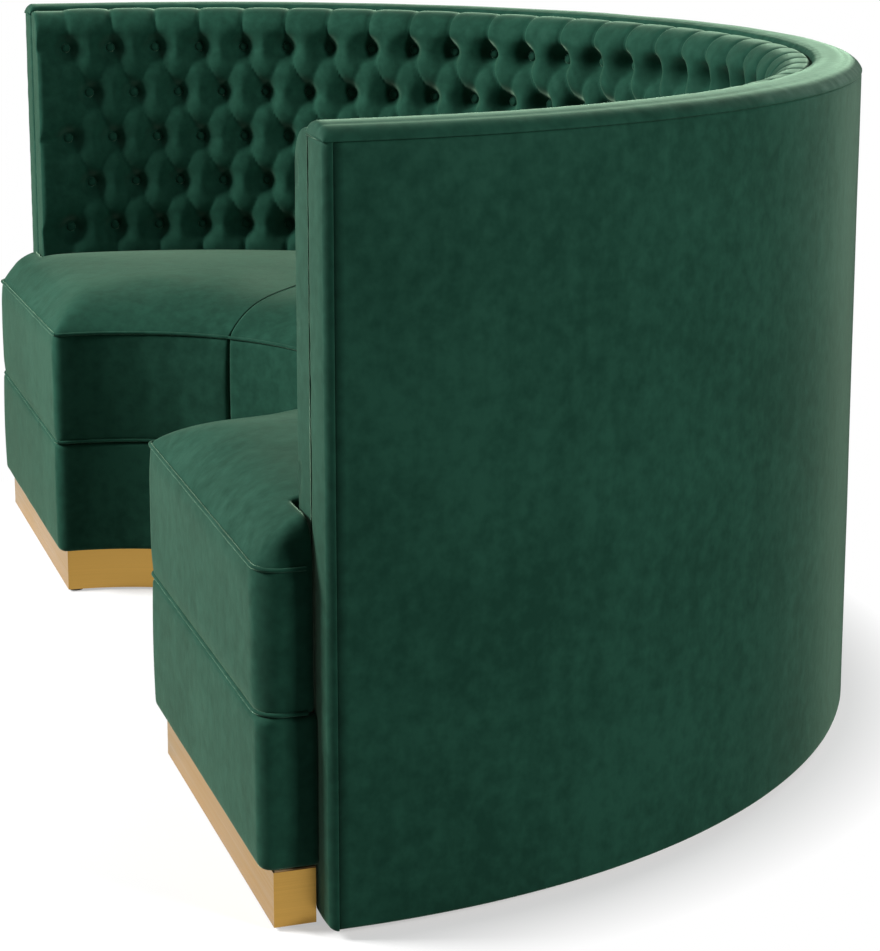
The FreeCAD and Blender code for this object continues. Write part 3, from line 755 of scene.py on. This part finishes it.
def pad_stations():
    """Stations along the pad, even on its arc, with rounded ends.

    Each has its angle, its place along the leg, how far its face is set back and its share of the tufting.
    """
    chosen = sizes()
    seat = chosen.button_seat
    pitch = button_pitch()
    first = chosen.button_margin
    round_end = 0.009
    straight = 6
    columns = (chosen.button_columns - 1) * STEPS_PER_PITCH
    before = round(first / (pitch / STEPS_PER_PITCH))
    angles = [index * first / before / seat for index in range(before)]
    angles += [(first + pitch * index / STEPS_PER_PITCH) / seat for index in range(columns + 1)]
    angles += [math.pi - index * first / before / seat for index in range(before - 1, -1, -1)]
    inner = [(angle, 0.0, 0.0, 1.0) for angle in angles]
    leg = PAD_END - round_end
    outer = [(0.0, -leg * index / straight, 0.0, 1.0) for index in range(1, straight + 1)]
    for turn in quarter(9)[1:]:
        along = -leg - round_end * math.sin(turn)
        outer.append((0.0, along, round_end * (1 - math.cos(turn)), math.cos(turn)))
    finish = [(math.pi, along, inset, share) for _, along, inset, share in outer]
    return outer[::-1] + inner + finish


def store_facing(mesh, facing):
    """Keep on each point the way that it faces."""
    mesh.attributes.new("facing", "FLOAT_VECTOR", "POINT").data.foreach_set("vector", np.ravel(facing))


class TuftedBack(bpy.types.Operator):
    """Deep-buttoned pad on the inside of the wall, with its rolled top"""

    bl_idname = "booth_sofa.tufted_back"
    bl_label = "Tufted back"

    def execute(self, context):
        chosen = sizes()
        pitch = button_pitch()
        profile = pad_profile()
        rings = []
        facing = []
        kept = {"column": [], "row": [], "weight": []}
        closing_shares = (0.35, 0.7, 0.97)
        top_inset = 0.3
        top_fall = 0.8
        stations = pad_stations()
        start = [(*stations[0], share) for share in reversed(closing_shares)]
        finish = [(*stations[-1], share) for share in closing_shares]
        for angle, along, inset, share, closing in start + [(*item, 0.0) for item in stations] + finish:
            ring = []
            distance = chosen.button_seat * angle
            distance += along if angle < 1.0 else -along
            for radius, level, (out, up), amount in profile:
                on_top = max(0.0, up)
                radius = radius + inset * (max(0.0, -out) + top_inset * on_top)
                level = level - inset * on_top * top_fall
                radius = radius + (PAD_BACK - HAIR - radius) * closing
                ring.append(at_station((angle, along), radius, level))
                kept["column"].append((distance - chosen.button_margin) / pitch)
                kept["row"].append((chosen.top_row - level) / chosen.row_pitch)
                kept["weight"].append(amount * share * (closing == 0.0))
                facing.append((out * math.cos(angle), out * math.sin(angle), up))
            rings.append(ring)
        points, faces = loft(rings)
        mesh = bpy.data.meshes.new("plain_pad")
        mesh.from_pydata([tuple(point) for point in points], [], faces)
        for name, values in kept.items():
            mesh.attributes.new(name, "FLOAT", "POINT").data.foreach_set("value", values)
        store_facing(mesh, facing)
        values = {
            "Column Pitch": pitch, "Row Pitch": chosen.row_pitch,
            "Last Column": float(chosen.button_columns - 1), "Last Row": float(chosen.button_rows - 1),
            "Depth": chosen.tuft_depth, "Floor": chosen.hollow_floor, "Slope": chosen.hollow_slope,
            "Fold Depth": chosen.fold_depth, "Puff": chosen.puff_rise}
        piece = grow("tufted_back", mesh, tuft_tree(values), values)
        settle(piece, [f"tufted_pad_{part}" for part in PAD_LENGTHS])
        return {"FINISHED"}


def button_tree(values):
    """A low velvet dome at each point, turned to face the way that the point says."""
    tree, given = geometry_tree("covered buttons", values)
    ball = add_node(tree, "GeometryNodeMeshUVSphere", {"Segments": 12, "Rings": 6, "Radius": given["Radius"]})
    low = add_node(tree, "ShaderNodeCombineXYZ", {"X": 1.0, "Y": 1.0, "Z": given["Dome"]})
    dome = add_node(tree, "GeometryNodeTransform", {
        "Geometry": ball.outputs["Mesh"], "Scale": low.outputs["Vector"]})
    dots = add_node(tree, "GeometryNodeMeshToPoints", {"Mesh": given["Geometry"]})
    aim = add_node(tree, "FunctionNodeAlignRotationToVector", {
        "Vector": stored(tree, "facing", "FLOAT_VECTOR")}, axis="Z")
    vary = add_node(tree, "FunctionNodeRandomValue", {2: 0.94, 3: 1.04, "Seed": 7})
    place = add_node(tree, "GeometryNodeInstanceOnPoints", {
        "Points": dots.outputs["Points"], "Instance": dome.outputs["Geometry"],
        "Rotation": aim.outputs["Rotation"], "Scale": vary.outputs[1]})
    close_tree(tree, place.outputs["Instances"], velvet())
    return tree


class Buttons(bpy.types.Operator):
    """Covered buttons at the bottom of the hollows"""

    bl_idname = "booth_sofa.buttons"
    bl_label = "Buttons"

    def execute(self, context):
        chosen = sizes()
        pitch = button_pitch()
        sunk = 0.001
        places = []
        facing = []
        for row in range(chosen.button_rows):
            stagger = row % 2
            for column in range(chosen.button_columns - stagger):
                angle = (chosen.button_margin + pitch * (column + stagger / 2)) / chosen.button_seat
                level = chosen.top_row - row * chosen.row_pitch
                places.append(at_station((angle, 0.0), chosen.button_seat - sunk, level))
                facing.append((-math.cos(angle), -math.sin(angle), 0.0))
        mesh = bpy.data.meshes.new("button_places")
        mesh.from_pydata(places, [], [])
        store_facing(mesh, facing)
        values = {"Radius": chosen.button_radius, "Dome": 0.5}
        settle(grow("buttons", mesh, button_tree(values), values), ("back_buttons",))
        return {"FINISHED"}


# seat base

def rounded_path(corners, radius, step):
    """An even plan path through corners. Each corner is rounded, unless the path hardly turns there."""
    nearly_straight = math.radians(160)
    bends = 9
    path = [np.array(corners[0])]
    for previous, corner, following in zip(corners, corners[1:], corners[2:]):
        corner = np.array(corner)
        before = np.array(previous) - corner
        after = np.array(following) - corner
        before = before / np.linalg.norm(before)
        after = after / np.linalg.norm(after)
        turn = math.acos(np.clip(np.dot(before, after), -1.0, 1.0))
        if turn > nearly_straight:
            path.append(corner)
            continue
        back_off = radius / math.tan(turn / 2)
        centre = corner + (before + after) / np.linalg.norm(before + after) * radius / math.sin(turn / 2)
        first = corner + before * back_off - centre
        last = corner + after * back_off - centre
        for share in np.linspace(0.0, 1.0, bends):
            arm = first * (1 - share) + last * share
            path.append(centre + arm / np.linalg.norm(arm) * radius)
    path.append(np.array(corners[-1]))
    return even_path(np.array(path), step)


def even_path(path, step):
    """The same path with points at even steps."""
    lengths = np.linalg.norm(np.diff(path, axis=0), axis=1)
    along = np.concatenate(([0.0], np.cumsum(lengths)))
    count = max(2, round(along[-1] / step))
    marks = np.linspace(0.0, along[-1], count + 1)
    return np.stack([np.interp(marks, along, path[:, axis]) for axis in range(path.shape[1])], axis=1)


def seat_path(front, side, end, ear):
    """Plan corners of the seat's face from the right side round the front to the left side."""
    corner_room = 0.08
    turns = np.linspace(corner_room, math.pi - corner_room, 81)
    arc = [(front * math.cos(turn), ARC_Y - end + front * math.sin(turn)) for turn in turns]
    right = [(side, ARC_Y - ear), (side, ARC_Y - end), (front, ARC_Y - end)]
    left = [(-x, y) for x, y in reversed(right)]
    return right + arc + left


class BaseCover(bpy.types.Operator):
    """Velvet over foam on the seat base, with soft corners and a turned-under edge"""

    bl_idname = "booth_sofa.base_cover"
    bl_label = "Base cover"

    def execute(self, context):
        ear_room = 0.0009
        corner_radius = 0.02
        mesh_step = 0.008
        room = 0.0006
        edge = 0.009
        thickness = 0.013
        crown = 0.0015
        rows = 16
        corners = seat_path(sizes().seat_front, BASE_SIDE, BASE_END, WALL_END + ear_room)
        path = rounded_path(corners, corner_radius, mesh_step)
        along = np.gradient(path, axis=0)
        along /= np.linalg.norm(along, axis=1)[:, None]
        inward = np.stack([along[:, 1], -along[:, 0]], axis=1)
        low = BASE_LOW.z + room
        high = BASE_HIGH.z - room
        profile = [(thickness, low)]
        profile += [(edge * (1 - math.sin(a)) + crown, low + edge * (1 - math.cos(a))) for a in quarter(4)]
        for row in range(1, rows):
            share = row / rows
            bulge = math.sin(math.pi * share) ** 0.8
            profile.append((crown * (1 - bulge), low + edge + (high - low - 2 * edge) * share))
        profile += [(edge * (1 - math.cos(a)) + crown, high - edge + edge * math.sin(a)) for a in quarter(4)]
        profile.append((thickness, high))
        rings = []
        for place, normal in zip(path, inward):
            ring = []
            for inset, level in profile:
                wave = 0.0 if inset == thickness else abs(ripple((*place, level), 6.0, 8, 0.0012))
                ring.append((*(place + normal * (inset + wave)), level))
            rings.append(ring)
        padded_loft("base_cover_velvet", rings, ("base_cover", "base_foam"))
        return {"FINISHED"}


# seat cushions

class Seat:
    """Plan lines that the cushions keep to, measured from the centre of the seat's curved front."""

    def __init__(self):
        chosen = sizes()
        bulge_room = 0.004
        front_room = 0.003
        back_room = 0.006
        wall_room = 0.0025
        self.end = BASE_END - bulge_room
        self.centre = np.array((0.0, ARC_Y - self.end))
        self.front = chosen.seat_front + front_room
        self.back = SEAT_BACK - ARC_Y - back_room
        self.side = BASE_SIDE - bulge_room
        self.ear_depth = self.end - (WALL_END + wall_room)
        self.split = chosen.split_angle
        self.gap = chosen.cushion_gap / self.front

    def back_reach(self, angle):
        """How far it is from the centre to the back of the seat in one direction."""
        turn = np.minimum(angle, math.pi - angle)
        curve = self.end * np.sin(turn) + np.sqrt(self.back**2 - (self.end * np.cos(turn)) ** 2)
        return np.where(np.tan(turn) * self.back < self.end, self.back / np.cos(turn), curve)


class CushionPlan:
    """Plan of a cushion as a grid of quads, with the loop of its edge and where each point lies in it."""

    front_corner = 0.012
    side_corner = 0.034
    split_corner = 0.003

    def __init__(self, seat, at_end, step):
        self.seat = seat
        self.at_end = at_end
        self.first_split = seat.split - seat.gap if at_end else seat.split + seat.gap
        self.last_split = math.pi - seat.split - seat.gap
        turn = step / ((seat.front + seat.back) / 2)
        if at_end:
            rows = round(seat.ear_depth / step)
            angles = [math.atan(seat.ear_depth * row / rows / seat.back) for row in range(rows + 1)]
            angles += steps_between(angles[-1], self.first_split, turn)[1:]
        else:
            angles = steps_between(self.first_split, self.last_split, turn)
        across = round((seat.back - seat.front) / step) + 1
        points = []
        for angle in angles:
            direction = np.array((math.cos(angle), math.sin(angle)))
            for reach in np.linspace(seat.front, float(seat.back_reach(angle)), across):
                points.append(seat.centre + direction * reach)
        self.quads = grid_quads(len(angles), across)
        if at_end:
            self.add_ear(points, rows, across, step)
        self.points = np.array(points)
        self.loop = self.edge_loop()
        self.measure()
        self.round_corners()

    def add_ear(self, points, rows, across, step):
        """Widen the seat's end in front of the wall."""
        wide = steps_between(self.seat.back, self.seat.side, step)
        index = {}
        for row in range(rows + 1):
            index[row, 0] = row * across + across - 1
            for place in range(1, len(wide)):
                index[row, place] = len(points)
                points.append(self.seat.centre + np.array((wide[place], self.seat.ear_depth * row / rows)))
        for row in range(rows):
            for place in range(len(wide) - 1):
                self.quads.append((index[row, place], index[row, place + 1],
                                   index[row + 1, place + 1], index[row + 1, place]))

    def edge_loop(self):
        """Points round the edge, with the cushion on the left."""
        sides = set()
        for quad in self.quads:
            for start, end in zip(quad, quad[1:] + quad[:1]):
                sides.add((start, end))
        follow = {start: end for start, end in sides if (end, start) not in sides}
        loop = [min(follow)]
        while follow[loop[-1]] != loop[0]:
            loop.append(follow[loop[-1]])
        return loop

    def measure(self):
        """How far each point lies from the front, end, side and split, and which edges never show."""
        seat = self.seat
        across, self.from_end = (self.points - seat.centre).T
        reach = np.hypot(across, self.from_end)
        angle = np.arctan2(self.from_end, across)
        turn = seat.split - angle
        if not self.at_end:
            turn = np.minimum(angle - seat.split, math.pi - seat.split - angle)
        self.deep = reach - seat.front
        self.from_side = seat.side - across
        self.from_split = reach * np.sin(turn - seat.gap)
        tiny = 1e-6
        past_ear = self.from_end > seat.ear_depth - tiny
        at_back = (reach > seat.back_reach(angle) - tiny) | (across > seat.back - tiny)
        self.at_split = self.from_split < tiny
        self.hidden = (at_back & past_ear) | (self.at_split & (self.deep > tiny))

    def outward(self):
        """Unit plan direction out of the cushion at each point of the edge."""
        ring = self.points[self.loop]
        along = np.roll(ring, -1, axis=0) - np.roll(ring, 1, axis=0)
        along /= np.linalg.norm(along, axis=1)[:, None]
        return np.stack([along[:, 1], -along[:, 0]], axis=1)

    def round_corners(self):
        """Round the corners that show: two square ones and a split at an end, else two splits."""
        if self.at_end:
            self.round_square((self.seat.front, 0.0), (1, 1), self.front_corner)
            self.round_square((self.seat.side, 0.0), (-1, 1), self.side_corner)
            self.round_split(self.first_split, 1)
            return
        self.round_split(self.first_split, -1)
        self.round_split(self.last_split, 1)

    def round_square(self, corner, inside, radius):
        """Round a square corner."""
        corner = self.seat.centre + np.array(corner)
        local = (self.points - corner) * np.array(inside)
        local = np.column_stack(pull_round(local[:, 0], local[:, 1], radius))
        self.points = corner + local * np.array(inside)

    def round_split(self, split, side):
        """Round a front corner at a split; side is 1 for a cushion below the split's angle, else -1."""
        seat = self.seat
        across, along = (self.points - seat.centre).T
        old_deep = np.hypot(across, along) - seat.front
        beside = (split - np.arctan2(along, across)) * side * seat.front
        deep, beside = pull_round(old_deep, beside, self.split_corner)
        angle = split - beside * side / seat.front
        spots = seat.centre + np.column_stack([np.cos(angle), np.sin(angle)]) * (seat.front + deep)[:, None]
        self.points = np.where((deep != old_deep)[:, None], spots, self.points)


def steps_between(start, end, step):
    """Even values from a start to an end, about a step apart."""
    return list(np.linspace(start, end, max(2, round(abs(end - start) / step) + 1)))


def grid_quads(count, across):
    """Quads of a grid whose points are listed row by row."""
    quads = []
    for station in range(count - 1):
        for step in range(across - 1):
            first = station * across + step
            quads.append((first, first + 1, first + across + 1, first + across))
    return quads


def pull_round(first, second, radius):
    """Round a square edge: new distances from its two faces for points that lie in its corner."""
    near = (first < radius) & (second < radius)
    first_arm = radius - first
    second_arm = radius - second
    share = np.maximum(first_arm, second_arm) / np.maximum(np.hypot(first_arm, second_arm), 1e-9)
    return (np.where(near, radius - first_arm * share, first),
            np.where(near, radius - second_arm * share, second))


def eased(distance, run, power):
    """A rise from 0 at an edge to 1 at the end of a run, steepest at the edge."""
    return 1.0 - (1.0 - np.clip(distance / run, 0.0, 1.0)) ** power


def lesser(first, second):
    """The smaller of two shares, with a soft change between them."""
    least = 1e-4
    return (np.maximum(first, least) ** -3 + np.maximum(second, least) ** -3 - 1.0) ** (-1 / 3)


def smoothed(change, faces, held, rounds):
    """Even out how points move, from neighbour to neighbour, with the held points still."""
    pairs = np.array([pair for face in faces for pair in zip(face, face[1:] + face[:1])])
    free = np.ones(len(change), dtype=bool)
    free[held] = False
    share = np.bincount(pairs[:, 0], minlength=len(change))[:, None]
    for _ in range(rounds):
        total = np.zeros_like(change)
        np.add.at(total, pairs[:, 0], change[pairs[:, 1]])
        change = np.where(free[:, None], (change + total / share) / 2, change)
    return change


class Cushions(bpy.types.Operator):
    """Loose seat cushions, swelled by a cloth simulation between their sewn edges"""

    bl_idname = "booth_sofa.cushions"
    bl_label = "Cushions"

    def execute(self, context):
        self.seat = Seat()
        for at_end in (True, False):
            plan = CushionPlan(self.seat, at_end, sizes().cushion_step)
            points, faces, held = self.box_mesh(plan, self.top_levels(plan))
            swollen = self.keep_clear(plan, points, self.swell(plan, points, faces, held))
            if not at_end:
                self.finish("centre", plan, swollen, faces)
                continue
            self.finish("right", plan, swollen, faces)
            mirrored = swollen * np.array((-1.0, 1.0, 1.0))
            self.finish("left", plan, mirrored, [face[::-1] for face in faces])
        return {"FINISHED"}

    def top_levels(self, plan):
        """Level of the top before it swells: a full roll up from the seams, then almost level to the back."""
        chosen = sizes()
        seat = self.seat
        front_run = 0.34
        end_run = 0.11
        side_run = 0.04
        roll = 3.0
        rise = eased(plan.deep, front_run, chosen.cushion_roll)
        seam = np.full(len(plan.points), chosen.cushion_seam)
        if plan.at_end:
            rise = lesser(rise, eased(plan.from_end, end_run, roll))
            rise = lesser(rise, eased(plan.from_side, side_run, roll))
            seam -= chosen.seam_fall * np.clip(plan.deep / (seat.side - seat.front), 0.0, 1.0)
        return seam + (CUSHION_CROWN - seam) * rise

    def box_mesh(self, plan, top):
        """The cushion before it swells: lining first, then its top, then its walls."""
        rows = 18
        wall_bulge = 0.004
        floor_room = 0.0006
        count = len(plan.points)
        low = CUSHION_FLOOR + floor_room
        faces = [quad[::-1] for quad in plan.quads]
        faces += [tuple(count + index for index in quad) for quad in plan.quads]
        points = [np.column_stack([plan.points, np.full(count, low)]), np.column_stack([plan.points, top])]
        loop = np.array(plan.loop)
        bulge = plan.outward() * np.where(plan.hidden[loop], 0.0, wall_bulge)[:, None]
        rings = [loop]
        total = 2 * count
        for row in range(1, rows):
            share = row / rows
            spots = plan.points[loop] + bulge * math.sin(math.pi * share) ** 0.6
            points.append(np.column_stack([spots, low + (top[loop] - low) * share]))
            rings.append(np.arange(total, total + len(loop)))
            total += len(loop)
        rings.append(loop + count)
        for lower, higher in zip(rings, rings[1:]):
            for step in range(len(loop)):
                after = (step + 1) % len(loop)
                faces.append((int(higher[step]), int(lower[step]), int(lower[after]), int(higher[after])))
        return np.concatenate(points), faces, list(range(count)) + list(loop + count)

    def swell(self, plan, points, faces, held):
        """Blow the cushion up between its held seams, then even out and weaken how far it moved."""
        chosen = sizes()
        scene = bpy.context.scene
        last_frame = 20
        split_run = 0.14
        blank = new_piece("cushion_blank", points, faces, [])
        blank.vertex_groups.new(name="seams").add([int(index) for index in held], 1.0, "REPLACE")
        cloth = blank.modifiers.new("swell", "CLOTH")
        velvet_cloth = {
            "quality": 5, "mass": 0.3, "tension_stiffness": 18.0, "compression_stiffness": 12.0,
            "shear_stiffness": 6.0, "bending_stiffness": 0.6, "vertex_group_mass": "seams",
            "use_pressure": True, "uniform_pressure_force": chosen.cushion_pressure, "shrink_min": -0.012}
        for name, value in velvet_cloth.items():
            setattr(cloth.settings, name, value)
        cloth.settings.effector_weights.gravity = 0.0
        cloth.point_cache.frame_start = 1
        cloth.point_cache.frame_end = last_frame
        for step in range(1, last_frame + 1):
            scene.frame_set(step)
        mesh = blank.evaluated_get(bpy.context.evaluated_depsgraph_get()).data
        moved = np.zeros(len(mesh.vertices) * 3)
        mesh.vertices.foreach_get("co", moved)
        scene.frame_set(1)
        blank.modifiers.remove(cloth)
        data = blank.data
        bpy.data.objects.remove(blank)
        bpy.data.meshes.remove(data)
        change = smoothed(moved.reshape(-1, 3) - points, faces, held, chosen.cushion_even)
        change *= chosen.cushion_swell
        count = len(plan.points)
        share = np.clip(plan.from_split / split_run, 0.0, 1.0)
        change[count:2 * count, 2] *= share * share * (3.0 - 2.0 * share)
        return points + change

    def keep_clear(self, plan, points, moved):
        """Hold a cushion inside its own space, clear of the pad, the wall and its neighbour."""
        seat = self.seat
        pad_room = 0.0045
        end_bulge = 0.0035
        floor_room = 0.0004
        level = np.maximum(moved[:, 2], CUSHION_FLOOR + floor_room)
        across, along = (moved[:, :2] - seat.centre).T
        reach = np.hypot(across, along)
        least = -math.pi if plan.at_end else plan.first_split
        most = plan.first_split if plan.at_end else plan.last_split
        angle = np.clip(np.arctan2(along, across), least, most)
        in_ear = points[:, 0] > seat.back + HAIR
        limit = seat.back_reach(np.clip(angle, 0.0, math.pi)) + pad_room
        reach = np.where(in_ear, reach, np.minimum(reach, limit))
        x = np.minimum(reach * np.cos(angle), BASE_SIDE - HAIR)
        y = reach * np.sin(angle)
        y = np.where(in_ear, np.minimum(y, seat.ear_depth + HAIR), y)
        y = np.maximum(y, -end_bulge)
        return np.column_stack([x + seat.centre[0], y + seat.centre[1], level])

    def finish(self, place, plan, points, faces):
        """The finished cushion, smoothed once, with lining on its underside and piping on its seams."""
        piece = new_piece(f"seat_cushion_{place}", points, faces, [velvet(), lining()])
        marks = [1] * len(plan.quads) + [0] * (len(faces) - len(plan.quads))
        piece.data.polygons.foreach_set("material_index", marks)
        count = len(plan.points)
        sharp = {count + index for index in plan.loop if plan.at_split[index]}
        crease = [float(edge.vertices[0] in sharp and edge.vertices[1] in sharp) for edge in piece.data.edges]
        piece.data.attributes.new("crease_edge", "FLOAT", "EDGE").data.foreach_set("value", crease)
        smooth = piece.modifiers.new("smooth", "SUBSURF")
        smooth.levels = 1
        smooth.render_levels = 1
        graph = bpy.context.evaluated_depsgraph_get()
        mesh = bpy.data.meshes.new_from_object(piece.evaluated_get(graph))
        piece.modifiers.remove(smooth)
        old = piece.data
        piece.data = mesh
        bpy.data.meshes.remove(old)
        mesh.name = piece.name
        nodes = [f"cushion_{layer}_{place}" for layer in ("cover", "foam", "cloth")]
        settle(piece, nodes, f"cushion_{place}")
        self.welts(place, plan, points)

    def welts(self, place, plan, points):
        """Piping along the sewn edges that show."""
        stand_out = 0.0012
        lower_lift = 0.0022
        outward = plan.outward() * np.array((-1.0 if place == "left" else 1.0, 1.0))
        lines = []
        for layer, lift in ((0, lower_lift), (len(plan.points), 0.0)):
            line = []
            for step in range(len(plan.loop) + 1):
                around = step % len(plan.loop)
                index = plan.loop[around]
                if plan.hidden[index]:
                    lines.append(line)
                    line = []
                    continue
                line.append(points[layer + index] + np.append(outward[around] * stand_out, lift))
            lines.append(line)
        make_welt(f"welt_{place}", [line for line in lines if len(line) > 2], f"cushion_{place}")


def welt_tree(values):
    """Piping along each line, a little uneven."""
    tree, given = geometry_tree("welt", values)
    curve = add_node(tree, "GeometryNodeMeshToCurve", {"Mesh": given["Geometry"]})
    even = add_node(tree, "GeometryNodeResampleCurve", {
        "Curve": curve.outputs["Curve"], "Length": 0.006}, mode="LENGTH")
    uneven = add_node(tree, "ShaderNodeTexNoise", {"Scale": 70.0})
    thick = Field(tree, uneven.outputs["Fac"]) * 2.0 - 1.0
    thick = (thick * given["Pucker"] + 1.0) * given["Radius"]
    ring = add_node(tree, "GeometryNodeCurvePrimitiveCircle", {"Resolution": 8, "Radius": 1.0})
    tube = add_node(tree, "GeometryNodeCurveToMesh", {
        "Curve": even.outputs["Curve"], "Profile Curve": ring.outputs["Curve"], "Scale": thick,
        "Fill Caps": True})
    close_tree(tree, tube.outputs["Mesh"], velvet())
    return tree


def make_welt(name, lines, body):
    """Piping along some lines, as one piece."""
    points = []
    edges = []
    for line in lines:
        for index, spot in enumerate(line):
            if index:
                edges.append((len(points) - 1, len(points)))
            points.append(tuple(spot))
    mesh = bpy.data.meshes.new(f"{name}_lines")
    mesh.from_pydata(points, edges, [])
    values = {"Radius": sizes().welt_radius, "Pucker": 0.16}
    tree = bpy.data.node_groups.get("welt") or welt_tree(values)
    settle(grow(name, mesh, tree, values), (), body=body)


# carcass

class Carcass(bpy.types.Operator):
    """Finishes for the frame's own boards, brass, cloths and fixings"""

    bl_idname = "booth_sofa.carcass"
    bl_label = "Carcass finishes"

    def execute(self, context):
        finish = finishes()
        for part in frame["record"]["subparts"]:
            node = frame["nodes"][part["node"]]
            node.data.materials.clear()
            node.data.materials.append(finish[part["material_slot"]])
        return {"FINISHED"}


# stage

def area_light(name, place, target, width, energy):
    """A soft square lamp that looks at a point."""
    data = bpy.data.lights.new(name, "AREA")
    data.shape = "SQUARE"
    data.size = width
    data.energy = energy
    lamp = bpy.data.objects.new(name, data)
    lamp.location = place
    lamp.rotation_euler = (Vector(target) - Vector(place)).to_track_quat("-Z", "Y").to_euler()
    bpy.context.scene.collection.objects.link(lamp)


def white_share(tree):
    """One for rays that see the background directly, in metal or through glass."""
    path = tree.nodes.new("ShaderNodeLightPath").outputs
    seen = Field(tree, path["Is Camera Ray"]).larger(path["Is Glossy Ray"])
    return seen.larger(path["Is Transmission Ray"])


class Stage(bpy.types.Operator):
    """Pale floor, soft studio light and a camera at the photograph's angle"""

    bl_idname = "booth_sofa.stage"
    bl_label = "Stage"

    def execute(self, context):
        self.make_floor()
        self.make_world()
        area_light("key_lamp", (-1.25, -5.0, 3.5), (0.0, 0.0, 0.5), width=2.0, energy=600.0)
        area_light("rim_lamp", (-2.2, 4.2, 2.3), (0.0, 0.0, 0.9), width=1.4, energy=75.0)
        area_light("fill_lamp", (4.2, 2.3, 2.1), (0.0, 0.0, 0.6), width=1.0, energy=140.0)
        self.make_camera()
        context.scene.view_settings.view_transform = "Standard"
        return {"FINISHED"}

    def make_floor(self):
        """A floor that is white to the camera, apart from the sofa's shadow close to it."""
        reach = 60.0
        matt_range = (0.22, 0.95)
        shadow_band = (1.09, 1.22)
        white_range = (0.45, 1.0)
        material, tree = new_material("pale floor")
        tree.nodes.clear()
        seen = white_share(tree)
        matt = add_node(tree, "ShaderNodeBsdfDiffuse", {
            "Color": add_range(tree, seen, (0.0, 1.0), matt_range)})
        glow = add_node(tree, "ShaderNodeEmission", {"Color": (1.0, 1.0, 1.0, 1.0), "Strength": 1.0})
        away = add_node(tree, "ShaderNodeVectorMath", {
            0: object_place(tree), 1: (0.0, ARC_Y, 0.0)}, operation="DISTANCE")
        whiter = add_range(tree, away.outputs["Value"], shadow_band, white_range)
        mix = add_node(tree, "ShaderNodeMixShader", {
            0: seen * whiter, 1: matt.outputs[0], 2: glow.outputs[0]})
        add_node(tree, "ShaderNodeOutputMaterial", {"Surface": mix.outputs[0]})
        corners = [(-reach, -reach, 0), (reach, -reach, 0), (reach, reach, 0), (-reach, reach, 0)]
        new_piece("floor", corners, [(0, 1, 2, 3)], [material])

    def make_world(self):
        """A white surround that gives little light."""
        world = bpy.data.worlds.new("studio")
        bpy.context.scene.world = world
        world.use_nodes = True
        tree = world.node_tree
        strength = add_range(tree, white_share(tree), (0.0, 1.0), (0.04, 1.0))
        feed(tree, tree.nodes["Background"], {"Color": (1.0, 1.0, 1.0, 1.0), "Strength": strength})

    def make_camera(self):
        """The camera that was fitted to the edges in the photograph."""
        picture_height = 951.0
        rows_shifted = 150.0
        look_down = 11.41
        heading = 71.573
        data = bpy.data.cameras.new("photo_camera")
        data.lens = 92.58
        data.sensor_width = 36.0
        data.shift_y = -rows_shifted / picture_height
        camera = bpy.data.objects.new("photo_camera", data)
        camera.location = (3.7584, -1.2734, 1.3277)
        camera.rotation_euler = (math.radians(90.0 - look_down), 0.0, math.radians(heading))
        bpy.context.scene.collection.objects.link(camera)
        bpy.context.scene.camera = camera


class SofaPanel(bpy.types.Panel):
    """The sofa's pieces and the sizes and colours that they use"""

    bl_idname = "VIEW3D_PT_booth_sofa"
    bl_label = "Booth sofa"
    bl_space_type = "VIEW_3D"
    bl_region_type = "UI"
    bl_category = "Booth sofa"

    def draw(self, context):
        settings = context.scene.booth_sofa
        for group in (settings.sizes, settings.colours):
            box = self.layout.box()
            for name in group.bl_rna.properties.keys():
                if name not in ("rna_type", "name"):
                    box.prop(group, name)
        for operator in OPERATORS:
            self.layout.operator(operator.bl_idname)


OPERATORS = (Carcass, OuterBack, Borders, TuftedBack, Buttons, BaseCover, Cushions, Stage)
CLASSES = (SofaSizes, SofaColours, SofaSettings, *OPERATORS, SofaPanel)


def register():
    for kind in CLASSES:
        bpy.utils.register_class(kind)
    bpy.types.Scene.booth_sofa = bpy.props.PointerProperty(type=SofaSettings)


def unregister():
    del bpy.types.Scene.booth_sofa
    for kind in reversed(CLASSES):
        bpy.utils.unregister_class(kind)


def main():
    register()
    bpy.ops.booth_sofa.carcass()
    bpy.ops.booth_sofa.outer_back()
    bpy.ops.booth_sofa.borders()
    bpy.ops.booth_sofa.tufted_back()
    bpy.ops.booth_sofa.buttons()
    bpy.ops.booth_sofa.base_cover()
    bpy.ops.booth_sofa.cushions()
    bpy.ops.booth_sofa.stage()


if __name__ == "__main__":
    main()
